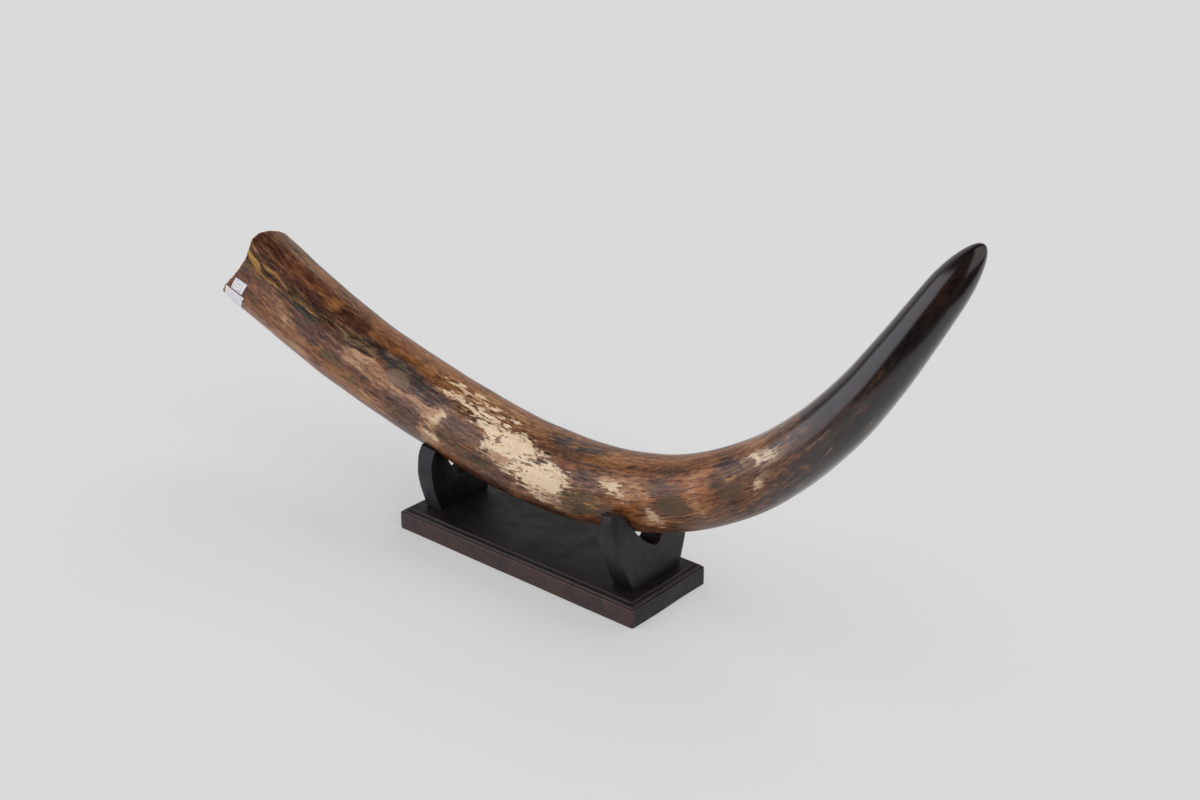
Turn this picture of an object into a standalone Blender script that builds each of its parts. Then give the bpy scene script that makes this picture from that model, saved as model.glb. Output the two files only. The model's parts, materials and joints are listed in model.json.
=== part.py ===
"""A polished fossil mammoth tusk lying in the two notched uprights of its small dark wooden stand.

Metres, +Z up. The origin is the centre of the stand's underside, +X runs along the stand towards
the tusk's tip, and -Y is the stand's front.
"""

import math

import bmesh
import bpy
import numpy as np
from mathutils import Matrix, Vector
from mathutils.geometry import interpolate_bezier

# Meshes that touch in the real object keep this much air between them.
GAP = 0.0003

# The stand's board: a plain slab with a raised, rounded moulding set in from its edge.
BOARD_LENGTH = 0.300
BOARD_WIDTH = 0.107
SLAB_HEIGHT = 0.0182
BOARD_HEIGHT = 0.0222
MOULDING_INSET = 0.0018
MOULDING_ROUND = 0.0036
BOARD_EASED_EDGE = 0.0008
BOARD_CORNER = 0.0025

# The uprights: lyre-shaped boards standing across the stand, each with a rounded V notch.
UPRIGHT_THICKNESS = 0.0204
UPRIGHT_EASED_EDGE = 0.0010
FOOT_HALF_WIDTH = 0.030
UPRIGHTS = {
    "saddle_far": {
        "x": -0.1232,
        "half_width": 0.0420,
        "widest_at": 0.068,
        "horn_half_width": 0.0340,
        "horn_top": 0.0895,
        "top_slope_deg": -3,
        "notch_point": 0.0425,
        "notch_steepness": 1.51,
        "notch_radius": 0.0127,
    },
    "saddle_near": {
        "x": 0.1188,
        "half_width": 0.0533,
        "widest_at": 0.088,
        "horn_half_width": 0.0500,
        "horn_top": 0.1012,
        "top_slope_deg": 15,
        "notch_point": 0.0430,
        "notch_steepness": 1.37,
        "notch_radius": 0.0200,
    },
}

# The tusk's axis, from its root end to its tip, at equal steps along its length. Pitch is the
# climb towards the tip, and plan is the turn to the left seen from above, which gives the slow twist.
TUSK_LENGTH = 0.942
TUSK_PITCH_DEG = (-34, -28.5, -17.5, -11.5, -1, 11.5, 30, 48, 59.5, 58)
TUSK_PLAN_DEG = (15, 10, 4.5, 0.5, -0.5, 1, 5, 10, 14, 18)
TUSK_RADIUS = (0.0440, 0.0420, 0.0405, 0.0400, 0.0390, 0.0357, 0.0322, 0.0267, 0.0210, 0.0145)
TIP_ROUNDING = 0.050
SAG_DISTANCE = 0.444
SAG_POINT = Vector((0.033, 0, 0.095))
TUSK_RINGS = 62
TUSK_SIDES_BEVEL = 14

# The root end: three shallow waves in the broken rim, and the open cone of the pulp cavity.
RIM_MEAN = 0.0054
RIM_WAVE = 0.0062
RIM_WAVES_AROUND = 3
RIM_TONGUE_DEG = 74
RIM_BLEND_LENGTH = 0.055
RIM_WALL = 0.0055
CAVITY_DEPTH = 0.150

# Two blank paper stickers on the root end: start and end along the axis, and angles around it,
# from the side towards -Y (0) up over the top (90).
STICKER_THICKNESS = 0.0003
STICKERS = {
    "label_small": {"along": (0.0140, 0.0290), "around_deg": (-11, 8)},
    "label_large": {"along": (0.0070, 0.0310), "around_deg": (-48, -14.5)},
}

STAND_WOOD = (0.020, 0.012, 0.010)
TUSK_BROWN = (0.180, 0.075, 0.035)
STICKER_WHITE = (0.85, 0.85, 0.88)


def clear_scene():
    for thing in list(bpy.data.objects):
        bpy.data.objects.remove(thing, do_unlink=True)


def new_collection(name):
    collection = bpy.data.collections.new(name)
    bpy.context.scene.collection.children.link(collection)
    return collection


def new_material(name, colour, roughness):
    material = bpy.data.materials.new(name)
    material.use_nodes = True
    shader = material.node_tree.nodes["Principled BSDF"]
    shader.inputs["Base Color"].default_value = (*colour, 1)
    shader.inputs["Roughness"].default_value = roughness
    shader.inputs["Metallic"].default_value = 0
    material.diffuse_color = (*colour, 1)
    return material


def add_object(name, data, collection, material=None):
    thing = bpy.data.objects.new(name, data)
    collection.objects.link(thing)
    if material:
        data.materials.clear()
        data.materials.append(material)
    return thing


def make_helper(thing):
    """A cutter: drawn as a wire, and left out of the model."""
    thing.hide_render = True
    thing.display_type = "WIRE"
    return thing


def mesh_from_curve(thing, collection):
    """Replaces a curve object by its mesh, with the loose caps welded on."""
    graph = bpy.context.evaluated_depsgraph_get()
    mesh = bpy.data.meshes.new_from_object(thing.evaluated_get(graph))
    editing = bmesh.new()
    editing.from_mesh(mesh)
    bmesh.ops.remove_doubles(editing, verts=editing.verts, dist=1e-6)
    bmesh.ops.recalc_face_normals(editing, faces=editing.faces)
    editing.to_mesh(mesh)
    editing.free()
    solid = bpy.data.objects.new(thing.name + "_mesh", mesh)
    solid.matrix_world = thing.matrix_world
    collection.objects.link(solid)
    name = thing.name
    bpy.data.objects.remove(thing, do_unlink=True)
    solid.name = name
    return solid


def cut(thing, cutter):
    modifier = thing.modifiers.new(cutter.name, "BOOLEAN")
    modifier.operation = "DIFFERENCE"
    modifier.solver = "EXACT"
    modifier.object = cutter


def join(thing, other):
    modifier = thing.modifiers.new(other.name, "BOOLEAN")
    modifier.operation = "UNION"
    modifier.solver = "EXACT"
    modifier.object = other


def spline_through(values, where):
    """A natural cubic spline through values at equal steps from 0 to 1, read at where."""
    values = np.asarray(values, float)
    count = len(values)
    system = np.eye(count)
    bends = np.zeros(count)
    for i in range(1, count - 1):
        system[i, i - 1 : i + 2] = (1, 4, 1)
        bends[i] = 6 * (values[i + 1] - 2 * values[i] + values[i - 1])
    curvature = np.linalg.solve(system, bends)
    place = np.clip(np.asarray(where, float), 0, 1) * (count - 1)
    left = np.minimum(place.astype(int), count - 2)
    after = place - left
    before = 1 - after
    straight = before * values[left] + after * values[left + 1]
    bent = (before**3 - before) * curvature[left] + (after**3 - after) * curvature[left + 1]
    return straight + bent / 6


def tusk_axis():
    """Distances from the root, points and headings along the tusk's axis, a millimetre apart."""
    distance = np.linspace(0, TUSK_LENGTH, round(TUSK_LENGTH * 1000) + 1)
    pitch = np.radians(spline_through(TUSK_PITCH_DEG, distance / TUSK_LENGTH))
    plan = np.radians(spline_through(TUSK_PLAN_DEG, distance / TUSK_LENGTH))
    heading = np.stack(
        [np.cos(pitch) * np.cos(plan), np.cos(pitch) * np.sin(plan), np.sin(pitch)], axis=1
    )
    steps = (heading[1:] + heading[:-1]) / 2 * (distance[1] - distance[0])
    point = np.concatenate([np.zeros((1, 3)), np.cumsum(steps, axis=0)])
    sag = [np.interp(SAG_DISTANCE, distance, point[:, k]) for k in range(3)]
    return distance, point - sag + np.array(SAG_POINT), heading


AXIS_DISTANCE, AXIS_POINT, AXIS_HEADING = tusk_axis()


def axis_at(distance):
    """Point, heading, sideways direction (towards -Y) and upward direction at a distance along the axis."""
    point = Vector([np.interp(distance, AXIS_DISTANCE, AXIS_POINT[:, k]) for k in range(3)])
    heading = Vector([np.interp(distance, AXIS_DISTANCE, AXIS_HEADING[:, k]) for k in range(3)])
    heading.normalize()
    sideways = heading.cross(Vector((0, 0, 1))).normalized()
    return point, heading, sideways, sideways.cross(heading)


def tusk_radius(distance):
    rounding = np.clip((distance - TUSK_LENGTH + TIP_ROUNDING) / TIP_ROUNDING, 0, 1)
    return spline_through(TUSK_RADIUS, distance / TUSK_LENGTH) * np.sqrt(1 - rounding**2)


def tapered_tube(name, distances, radii, collection):
    """A round tube along the tusk's axis, made as a bevelled curve."""
    curve = bpy.data.curves.new(name, "CURVE")
    curve.dimensions = "3D"
    curve.twist_mode = "MINIMUM"
    curve.bevel_depth = 1
    curve.bevel_resolution = TUSK_SIDES_BEVEL
    curve.use_fill_caps = True
    spline = curve.splines.new("POLY")
    spline.points.add(len(distances) - 1)
    for control, distance, radius in zip(spline.points, distances, radii):
        point = axis_at(distance)[0]
        control.co = (*point, 1)
        control.radius = radius
    return mesh_from_curve(add_object(name, curve, collection), collection)


def tusk_stations():
    """Even stations along the shaft, closing up over the rounded tip."""
    shaft = np.linspace(0, TUSK_LENGTH - TIP_ROUNDING, TUSK_RINGS - 8)
    turn = np.linspace(0, math.radians(86), 9)[1:]
    return np.concatenate([shaft, TUSK_LENGTH - TIP_ROUNDING + TIP_ROUNDING * np.sin(turn)])


def shape_rim(tusk):
    """Slides the root end along the axis into its three shallow waves, fading out up the shaft."""
    for vertex in tusk.data.vertices:
        nearest = int(np.argmin(((AXIS_POINT - np.array(vertex.co)) ** 2).sum(axis=1)))
        distance = AXIS_DISTANCE[nearest]
        if distance > RIM_BLEND_LENGTH:
            continue
        point, heading, sideways, upward = axis_at(distance)
        out = vertex.co - point
        around = math.atan2(out.dot(upward), out.dot(sideways))
        wave = math.cos(RIM_WAVES_AROUND * (around - math.radians(RIM_TONGUE_DEG)))
        fade = 1 - distance / RIM_BLEND_LENGTH
        vertex.co += heading * (RIM_MEAN - RIM_WAVE * wave) * fade


def make_tusk(parts, cutters):
    stations = tusk_stations()
    tusk = tapered_tube("tusk", stations, tusk_radius(stations), parts)
    shape_rim(tusk)
    tusk.data.materials.append(new_material("fossil_ivory", TUSK_BROWN, 0.25))

    # The cavity starts outside the end, so that it cuts the end face cleanly.
    depth = np.linspace(0, 1, 12)
    mouth = TUSK_RADIUS[0] - RIM_WALL
    cone = mouth * (1 - depth) ** 0.8 + 0.001
    cavity = tapered_tube("pulp_cavity", depth * CAVITY_DEPTH, cone, cutters)
    lead = axis_at(0)[1] * -0.020
    for vertex in cavity.data.vertices:
        nearest = int(np.argmin(((AXIS_POINT - np.array(vertex.co)) ** 2).sum(axis=1)))
        if nearest < 2:
            vertex.co += lead
    cut(tusk, make_helper(cavity))
    tusk.data.shade_smooth()
    tusk.data.set_sharp_from_angle(angle=math.radians(40))


def make_board(parts, cutters, wood):
    def block(name, length, width, low, high, collection):
        editing = bmesh.new()
        size = Matrix.Diagonal((length, width, high - low, 1))
        bmesh.ops.create_cube(editing, size=1, matrix=Matrix.Translation((0, 0, (low + high) / 2)) @ size)
        mesh = bpy.data.meshes.new(name)
        editing.to_mesh(mesh)
        editing.free()
        return add_object(name, mesh, collection, wood)

    def round_edges(thing, chosen, width, segments):
        editing = bmesh.new()
        editing.from_mesh(thing.data)
        edges = [edge for edge in editing.edges if chosen(*[vertex.co for vertex in edge.verts])]
        bmesh.ops.bevel(
            editing, geom=edges, offset=width, segments=segments, profile=0.5, affect="EDGES"
        )
        editing.to_mesh(thing.data)
        editing.free()

    def upright_edge(a, b):
        return abs(a.z - b.z) > 0.001

    def top_edge(a, b):
        return min(a.z, b.z) > 0.001 and abs(a.z - b.z) < 0.0001 and a.z > SLAB_HEIGHT - 0.0001

    slab = block("stand_base", BOARD_LENGTH, BOARD_WIDTH, 0, SLAB_HEIGHT, parts)
    round_edges(slab, upright_edge, BOARD_CORNER, 3)
    round_edges(slab, top_edge, BOARD_EASED_EDGE, 1)
    set_in = 2 * MOULDING_INSET
    field = block(
        "moulding", BOARD_LENGTH - set_in, BOARD_WIDTH - set_in, SLAB_HEIGHT / 2, BOARD_HEIGHT, cutters
    )
    round_edges(field, upright_edge, BOARD_CORNER, 3)
    round_edges(field, top_edge, MOULDING_ROUND, 4)
    join(slab, make_helper(field))


def upright_outline(sizes):
    """The right half of the outline, from the foot up the outer edge and down into the notch."""
    wide, high, horn = sizes["half_width"], sizes["widest_at"], sizes["horn_half_width"]
    slope = abs(math.tan(math.radians(sizes["top_slope_deg"])))
    top = sizes["horn_top"] + UPRIGHT_THICKNESS / 2 * slope + 0.001
    foot_height = BOARD_HEIGHT - 0.004
    rise = high - foot_height
    foot = Vector((FOOT_HALF_WIDTH, foot_height, 0))
    widest = Vector((wide, high, 0))
    lower = interpolate_bezier(
        foot,
        foot + Vector((0.38 * (wide - FOOT_HALF_WIDTH), 0.27 * rise, 0)),
        Vector((wide, foot_height + 0.62 * rise, 0)),
        widest,
        9,
    )
    upper = interpolate_bezier(
        widest,
        Vector((wide, high + 0.4 * (top - high), 0)),
        Vector((wide - 0.4 * (wide - horn), high + 0.75 * (top - high), 0)),
        Vector((horn, top, 0)),
        6,
    )
    # The notch: straight flanks, tangent to a round floor.
    steep, radius, point = sizes["notch_steepness"], sizes["notch_radius"], sizes["notch_point"]
    slant = math.hypot(1, steep)
    inner = Vector(((top - point) / steep, top, 0))
    centre = point + radius * slant
    flank_angle = math.atan(steep)
    floor = [
        Vector((radius * math.sin(angle), centre - radius * math.cos(angle), 0))
        for angle in np.linspace(flank_angle, 0, 7)
    ]
    return [*lower, *upper[1:], inner, *floor]


def make_upright(name, sizes, parts, cutters, wood, tusk_clearance):
    half = upright_outline(sizes)
    outline = half + [Vector((-point.x, point.y, 0)) for point in reversed(half[:-1])]
    curve = bpy.data.curves.new(name, "CURVE")
    curve.dimensions = "2D"
    curve.fill_mode = "BOTH"
    curve.extrude = UPRIGHT_THICKNESS / 2
    spline = curve.splines.new("POLY")
    spline.points.add(len(outline) - 1)
    for control, point in zip(spline.points, outline):
        control.co = (*point, 1)
    spline.use_cyclic_u = True
    flat = add_object(name, curve, parts)
    # The outline's own X and Y become the row's Y and Z.
    flat.rotation_euler = (math.pi / 2, 0, math.pi / 2)
    flat.location.x = sizes["x"]
    bpy.context.view_layer.update()
    upright = mesh_from_curve(flat, parts)
    upright.data.materials.append(wood)
    bevel = upright.modifiers.new("eased_edges", "BEVEL")
    bevel.width = UPRIGHT_EASED_EDGE
    bevel.segments = 1
    bevel.limit_method = "ANGLE"
    bevel.angle_limit = math.radians(50)

    cut(upright, tusk_clearance)
    reach = 0.2
    for cutter_name, height, slope_deg, side in (
        (name + "_horn_cut", sizes["horn_top"], sizes["top_slope_deg"], 1),
        (name + "_foot_cut", BOARD_HEIGHT + GAP, 0, -1),
    ):
        editing = bmesh.new()
        bmesh.ops.create_cube(editing, size=reach)
        mesh = bpy.data.meshes.new(cutter_name)
        editing.to_mesh(mesh)
        editing.free()
        cutter = make_helper(add_object(cutter_name, mesh, cutters))
        surface = Matrix.Translation((sizes["x"], 0, height))
        tilt = Matrix.Rotation(math.radians(-slope_deg), 4, "Y")
        cutter.matrix_world = surface @ tilt @ Matrix.Translation((0, 0, side * reach / 2))
        cut(upright, cutter)


def make_sticker(name, sizes, parts, paper):
    """A thin patch that follows the tusk's surface."""
    along = np.linspace(*sizes["along"], 5)
    around = np.radians(np.linspace(*sizes["around_deg"], 7))
    editing = bmesh.new()
    rows = []
    for distance in along:
        point, _, sideways, upward = axis_at(distance)
        radius = tusk_radius(distance) + GAP
        rows.append(
            [
                editing.verts.new(point + (sideways * math.cos(a) + upward * math.sin(a)) * radius)
                for a in around
            ]
        )
    for low, high in zip(rows, rows[1:]):
        for i in range(len(around) - 1):
            editing.faces.new((low[i], high[i], high[i + 1], low[i + 1]))
    mesh = bpy.data.meshes.new(name)
    editing.to_mesh(mesh)
    editing.free()
    sticker = add_object(name, mesh, parts, paper)
    shell = sticker.modifiers.new("paper", "SOLIDIFY")
    shell.thickness = STICKER_THICKNESS
    shell.offset = 1


def main():
    clear_scene()
    parts = new_collection("mammoth_tusk_on_stand")
    cutters = new_collection("cutters")
    make_tusk(parts, cutters)

    wood = new_material("dark_wood", STAND_WOOD, 0.45)
    make_board(parts, cutters, wood)
    stations = tusk_stations()
    clearance = tapered_tube("tusk_clearance", stations, tusk_radius(stations) + GAP, cutters)
    make_helper(clearance)
    for name, sizes in UPRIGHTS.items():
        make_upright(name, sizes, parts, cutters, wood, clearance)

    paper = new_material("sticker_paper", STICKER_WHITE, 0.6)
    for name, sizes in STICKERS.items():
        make_sticker(name, sizes, parts, paper)


main()
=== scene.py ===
import json
import math
from contextlib import contextmanager

import bmesh
import bpy
import numpy as np
from mathutils import Matrix, Vector
from mathutils.geometry import interpolate_bezier

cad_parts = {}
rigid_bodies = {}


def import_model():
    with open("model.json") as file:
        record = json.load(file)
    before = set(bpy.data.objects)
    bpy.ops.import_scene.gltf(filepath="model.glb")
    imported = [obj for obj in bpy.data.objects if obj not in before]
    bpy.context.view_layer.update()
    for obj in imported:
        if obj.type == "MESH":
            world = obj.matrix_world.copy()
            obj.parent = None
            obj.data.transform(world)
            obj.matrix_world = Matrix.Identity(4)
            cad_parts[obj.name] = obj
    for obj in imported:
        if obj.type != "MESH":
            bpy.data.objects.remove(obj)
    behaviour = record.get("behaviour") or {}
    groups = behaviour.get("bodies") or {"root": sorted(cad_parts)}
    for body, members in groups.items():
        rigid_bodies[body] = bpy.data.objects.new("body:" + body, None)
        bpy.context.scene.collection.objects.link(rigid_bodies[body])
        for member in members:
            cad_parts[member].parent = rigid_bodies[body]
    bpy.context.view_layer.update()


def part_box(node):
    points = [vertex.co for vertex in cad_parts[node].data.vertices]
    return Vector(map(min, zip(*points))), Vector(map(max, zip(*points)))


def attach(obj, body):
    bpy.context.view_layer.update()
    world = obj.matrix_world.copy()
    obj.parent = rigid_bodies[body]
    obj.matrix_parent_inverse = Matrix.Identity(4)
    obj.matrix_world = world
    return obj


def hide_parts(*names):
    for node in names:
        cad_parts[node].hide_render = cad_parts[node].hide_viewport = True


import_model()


# ---------------------------------------------------------------------------------------------
# The tusk: one solid piece of fossil mammoth ivory, 0.94 m along its curve, with a slow twist.
# Its bark was ground away and it was oiled and polished by hand; the root is left as it broke,
# round the open cone of the pulp cavity. The stand is cut to fit it, so it comes first.

TUSK_LENGTH = 0.942
TUSK_PITCH_DEG = (-34, -28.5, -17.5, -11.5, -1, 11.5, 30, 48, 59.5, 58)
TUSK_PLAN_DEG = (15, 10, 4.5, 0.5, -0.5, 1, 5, 10, 14, 18)
TUSK_RADIUS = (0.0440, 0.0420, 0.0405, 0.0400, 0.0390, 0.0357, 0.0322, 0.0267, 0.0210, 0.0145)
TIP_ROUNDING = 0.050
SAG_DISTANCE = 0.444
SAG_POINT = (0.033, 0, 0.095)

# The broken rim: angles round the root in degrees, from the side towards -Y (0) over the top
# (90), and how far along the axis the edge stands there, in millimetres.
RIM_ANGLES = (-180, -130, -90, -48, -33, -16, -2, 13, 31, 43, 53, 62, 71, 82, 93, 105, 122, 150, 180)
RIM_EDGE_MM = (2, 7, 4, 1, 3, 6, 9, 11, 10.5, 7, 2, -1, -1.5, 0, 3, 6, 9, 7, 2)
RIM_FADE = 0.055
WALL_THICKNESS = 0.0055
HOLLOW_DEPTH = 0.150
HOLLOW_END_RADIUS = 0.001
# The rim's outer corner is worn round, over a millimetre.
RIM_CORNER = 0.0011

TUSK_SIDES = 192
SHAFT_RINGS = 424
RING_CROWDING = 1.03
TIP_RINGS = 25
TIP_LAST_TURN_DEG = 87
HOLLOW_RINGS = 50
RIM_STEPS = 720
RIM_SMOOTHING_ROUNDS = 60


def spline_through(values, where):
    """A natural cubic spline through values at equal steps from 0 to 1, read at where."""
    values = np.asarray(values, float)
    count = len(values)
    system = np.eye(count)
    bends = np.zeros(count)
    for i in range(1, count - 1):
        system[i, i - 1 : i + 2] = (1, 4, 1)
        bends[i] = 6 * (values[i + 1] - 2 * values[i] + values[i - 1])
    curvature = np.linalg.solve(system, bends)
    place = np.clip(np.asarray(where, float), 0, 1) * (count - 1)
    left = np.minimum(place.astype(int), count - 2)
    after = place - left
    before = 1 - after
    straight = before * values[left] + after * values[left + 1]
    bent = (before**3 - before) * curvature[left] + (after**3 - after) * curvature[left + 1]
    return straight + bent / 6


def tusk_axis():
    """Distances from the root, points and headings along the tusk's axis, a millimetre apart."""
    distance = np.linspace(0, TUSK_LENGTH, round(TUSK_LENGTH * 1000) + 1)
    pitch = np.radians(spline_through(TUSK_PITCH_DEG, distance / TUSK_LENGTH))
    plan = np.radians(spline_through(TUSK_PLAN_DEG, distance / TUSK_LENGTH))
    heading = np.stack(
        [np.cos(pitch) * np.cos(plan), np.cos(pitch) * np.sin(plan), np.sin(pitch)], axis=1
    )
    steps = (heading[1:] + heading[:-1]) / 2 * (distance[1] - distance[0])
    point = np.concatenate([np.zeros((1, 3)), np.cumsum(steps, axis=0)])
    sag = [np.interp(SAG_DISTANCE, distance, point[:, k]) for k in range(3)]
    return distance, point - sag + np.array(SAG_POINT), heading


AXIS_DISTANCE, AXIS_POINT, AXIS_HEADING = tusk_axis()


def axis_frame(distance):
    """Points, headings, sideways directions (towards -Y) and upward directions at distances."""
    distance = np.asarray(distance, float)
    inside = np.clip(distance, 0, TUSK_LENGTH)
    point = np.stack([np.interp(inside, AXIS_DISTANCE, AXIS_POINT[:, k]) for k in range(3)], axis=-1)
    heading = np.stack([np.interp(inside, AXIS_DISTANCE, AXIS_HEADING[:, k]) for k in range(3)], axis=-1)
    heading /= np.linalg.norm(heading, axis=-1, keepdims=True)
    sideways = np.cross(heading, (0, 0, 1))
    sideways /= np.linalg.norm(sideways, axis=-1, keepdims=True)
    point = point + heading * (distance - inside)[..., None]
    return point, heading, sideways, np.cross(sideways, heading)


def tusk_radius(distance):
    rounding = np.clip((distance - TUSK_LENGTH + TIP_ROUNDING) / TIP_ROUNDING, 0, 1)
    return spline_through(TUSK_RADIUS, distance / TUSK_LENGTH) * np.sqrt(1 - rounding**2)


def rim_edge(around):
    """How far along the axis the broken rim stands at each angle, as a smooth closed curve."""
    angles = np.radians(RIM_ANGLES)
    fine = np.linspace(-math.pi, math.pi, RIM_STEPS + 1)
    edge = np.interp(fine, angles, RIM_EDGE_MM)[:-1]
    for _ in range(RIM_SMOOTHING_ROUNDS):
        edge = (np.roll(edge, 1) + 2 * edge + np.roll(edge, -1)) / 4
    nibbles = 0.25 * np.sin(23 * fine[:-1]) + 0.2 * np.sin(57 * fine[:-1] + 1)
    edge = np.append(edge + nibbles, edge[0] + nibbles[0])
    return np.interp((around + math.pi) % (2 * math.pi) - math.pi, fine, edge) / 1000


def swell(distance, around):
    """The slow unevenness that polishing by hand leaves, as a share of the radius."""
    ripple = 0.0040 * np.sin(distance * 61 + 1.3 * np.sin(around + 0.6))
    ripple += 0.0030 * np.sin(distance * 113 + 2 * around)
    ripple += 0.0035 * np.cos(3 * around + distance * 19)
    settled = np.clip((TUSK_LENGTH - distance) / 0.12, 0, 1)
    return ripple * settled


def off_axis(distance, around, radius):
    """Points at each distance, angle and radius, and which way lies out of the tusk there."""
    point, _, sideways, upward = axis_frame(distance)
    out = sideways * np.cos(around)[:, None] + upward * np.sin(around)[:, None]
    return point + out * radius[:, None], out


def all_round(sides):
    """Angles, evenly spaced round a ring of that many sides."""
    return np.linspace(0, 2 * math.pi, sides, endpoint=False)


def tusk_loops():
    """The closed rings of the tusk: up the shaft to the tip, and down the hollow from the rim.

    Each ring is (points, straightened place), where the straightened place is the distance
    along the axis and the two directions across it, as if the tusk had grown straight.
    """
    around = all_round(TUSK_SIDES)
    edge = rim_edge(around)

    def ring(distance, radius):
        shifted = distance + edge * max(0.0, 1 - max(distance, 0) / RIM_FADE)
        place = np.stack([shifted, radius * np.cos(around), radius * np.sin(around)], axis=-1)
        return off_axis(shifted, around, radius)[0], place

    def outer(distance):
        return tusk_radius(distance) * (1 + swell(distance, around))

    loops = []
    for turn in np.radians((72, 50, 25, 0)):
        inset = RIM_CORNER * (1 - math.cos(turn))
        loops.append(ring(RIM_CORNER * (1 - math.sin(turn)), outer(0.0) - inset))
    shaft = np.linspace(0, 1, SHAFT_RINGS)[1:] ** RING_CROWDING * (TUSK_LENGTH - TIP_ROUNDING)
    loops += [ring(distance, outer(distance)) for distance in shaft if distance > RIM_CORNER * 1.4]
    for turn in np.linspace(0, math.radians(TIP_LAST_TURN_DEG), TIP_RINGS + 1)[1:]:
        distance = TUSK_LENGTH - TIP_ROUNDING + TIP_ROUNDING * math.sin(turn)
        loops.append(ring(distance, outer(distance)))

    # The hollow: a cone with a rounded lip, faint growth rings, and a blind end.
    inner = []
    mouth = TUSK_RADIUS[0] - WALL_THICKNESS
    for turn in np.radians((75, 45, 20, 0)):
        radius = mouth + RIM_CORNER * math.sin(turn)
        inner.append(ring(RIM_CORNER * (1 - math.sin(turn)), np.full(TUSK_SIDES, radius)))
    for depth in np.linspace(0, 1, HOLLOW_RINGS)[1:]:
        cone = mouth * (1 - depth) ** 0.8 + HOLLOW_END_RADIUS
        growth = 0.0003 * math.sin(depth * 70) * (1 - depth)
        flutes = 0.0004 * np.sin(9 * around + 4 * depth) * (1 - depth)
        distance = RIM_CORNER + depth * (HOLLOW_DEPTH - RIM_CORNER)
        inner.append(ring(distance, cone + growth + flutes))
    return loops, inner


@contextmanager
def edited(mesh):
    """The mesh, opened for editing and stored again at the end."""
    editing = bmesh.new()
    editing.from_mesh(mesh)
    yield editing
    editing.to_mesh(mesh)
    editing.free()


def loft(name, loops, caps):
    """A closed skin over rings of equal count; caps gives the rings that are filled flat."""
    rows = np.concatenate([points for points, _ in loops])
    count = len(loops[0][0])
    faces = []
    for i in range(len(loops) - 1):
        for j in range(count):
            k = (j + 1) % count
            faces.append((i * count + j, i * count + k, (i + 1) * count + k, (i + 1) * count + j))
    for i, flipped in caps:
        ring = list(range(i * count, (i + 1) * count))
        faces.append(ring[::-1] if flipped else ring)
    mesh = bpy.data.meshes.new(name)
    mesh.from_pydata(rows.tolist(), [], faces)
    with edited(mesh) as editing:
        bmesh.ops.recalc_face_normals(editing, faces=editing.faces)
    return mesh


def add_object(name, data):
    added = bpy.data.objects.new(name, data)
    bpy.context.scene.collection.objects.link(added)
    return added


shaft_loops, hollow_loops = tusk_loops()
# From the blind end of the hollow, out over the rim, and up the shaft to the tip.
all_loops = hollow_loops[::-1] + shaft_loops
tusk_mesh = loft("tusk_body", all_loops, caps=((0, True), (len(all_loops) - 1, False)))
tusk = add_object("tusk_body", tusk_mesh)
straightened = tusk_mesh.attributes.new("straightened", "FLOAT_VECTOR", "POINT")
places = np.concatenate([place for _, place in all_loops])
straightened.data.foreach_set("vector", places.astype(np.float32).ravel())
# How far each point lies from the broken edge, as far as that shows.
from_rim = tusk_mesh.attributes.new("from_rim", "FLOAT", "POINT")
from_edge = places[:, 0] - np.tile(rim_edge(all_round(TUSK_SIDES)), len(all_loops))
from_rim.data.foreach_set("value", np.clip(from_edge, 0, 0.02).astype(np.float32))
tusk_mesh.shade_smooth()

# The bands of rings that show the hollow's wall and the broken end take finishes of their own.
IVORY, BROKEN_EDGE, HOLLOW_WALL = range(3)
HOLLOW_BANDS = len(hollow_loops) - 3
RIM_BANDS = len(hollow_loops) + 1
band = np.arange(len(tusk_mesh.polygons)) // TUSK_SIDES
slots = np.where(band < HOLLOW_BANDS, HOLLOW_WALL, np.where(band < RIM_BANDS, BROKEN_EDGE, IVORY))
# The last two faces close the hollow's blind end and the tip.
slots[-2:] = (HOLLOW_WALL, IVORY)

# Its finish. Ivory that lay in the ground takes up iron and vivianite: cream where it stayed
# sound, then orange, red-brown and blue-black stains that run with the grain.


def new_material(name):
    material = bpy.data.materials.new(name)
    material.use_nodes = True
    tree = material.node_tree
    return material, tree, tree.nodes["Principled BSDF"]


def put(tree, kind, sockets=None, **settings):
    """Adds a node; sockets gives its inputs, each a plain value or another node's output."""
    node = tree.nodes.new(kind)
    for name, value in settings.items():
        setattr(node, name, value)
    for key, value in (sockets or {}).items():
        if isinstance(value, bpy.types.NodeSocket):
            tree.links.new(value, node.inputs[key])
        else:
            node.inputs[key].default_value = value
    return node


def attribute(tree, name, output="Vector"):
    return put(tree, "ShaderNodeAttribute", attribute_name=name).outputs[output]


def parted(tree, vector):
    """The X, Y and Z of a vector."""
    return put(tree, "ShaderNodeSeparateXYZ", {0: vector}).outputs


def calc(tree, operation, *values):
    return put(tree, "ShaderNodeMath", dict(enumerate(values)), operation=operation).outputs[0]


def times(tree, first, second):
    return calc(tree, "MULTIPLY", first, second)


def ramp(tree, value, low, high, to_low=0.0, to_high=1.0):
    """value, smoothly carried from low..high to to_low..to_high."""
    sockets = {"Value": value, "From Min": low, "From Max": high, "To Min": to_low, "To Max": to_high}
    return put(tree, "ShaderNodeMapRange", sockets, interpolation_type="SMOOTHSTEP").outputs[0]


def mix(tree, amount, under, over, way="MIX"):
    node = put(tree, "ShaderNodeMix", {0: amount, 6: under, 7: over}, data_type="RGBA", blend_type=way)
    return node.outputs[2]


def darken(tree, amount, colour, tint):
    """Multiplies the colour by a tint, as a wash of stain does."""
    return mix(tree, amount, colour, tint, "MULTIPLY")


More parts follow.
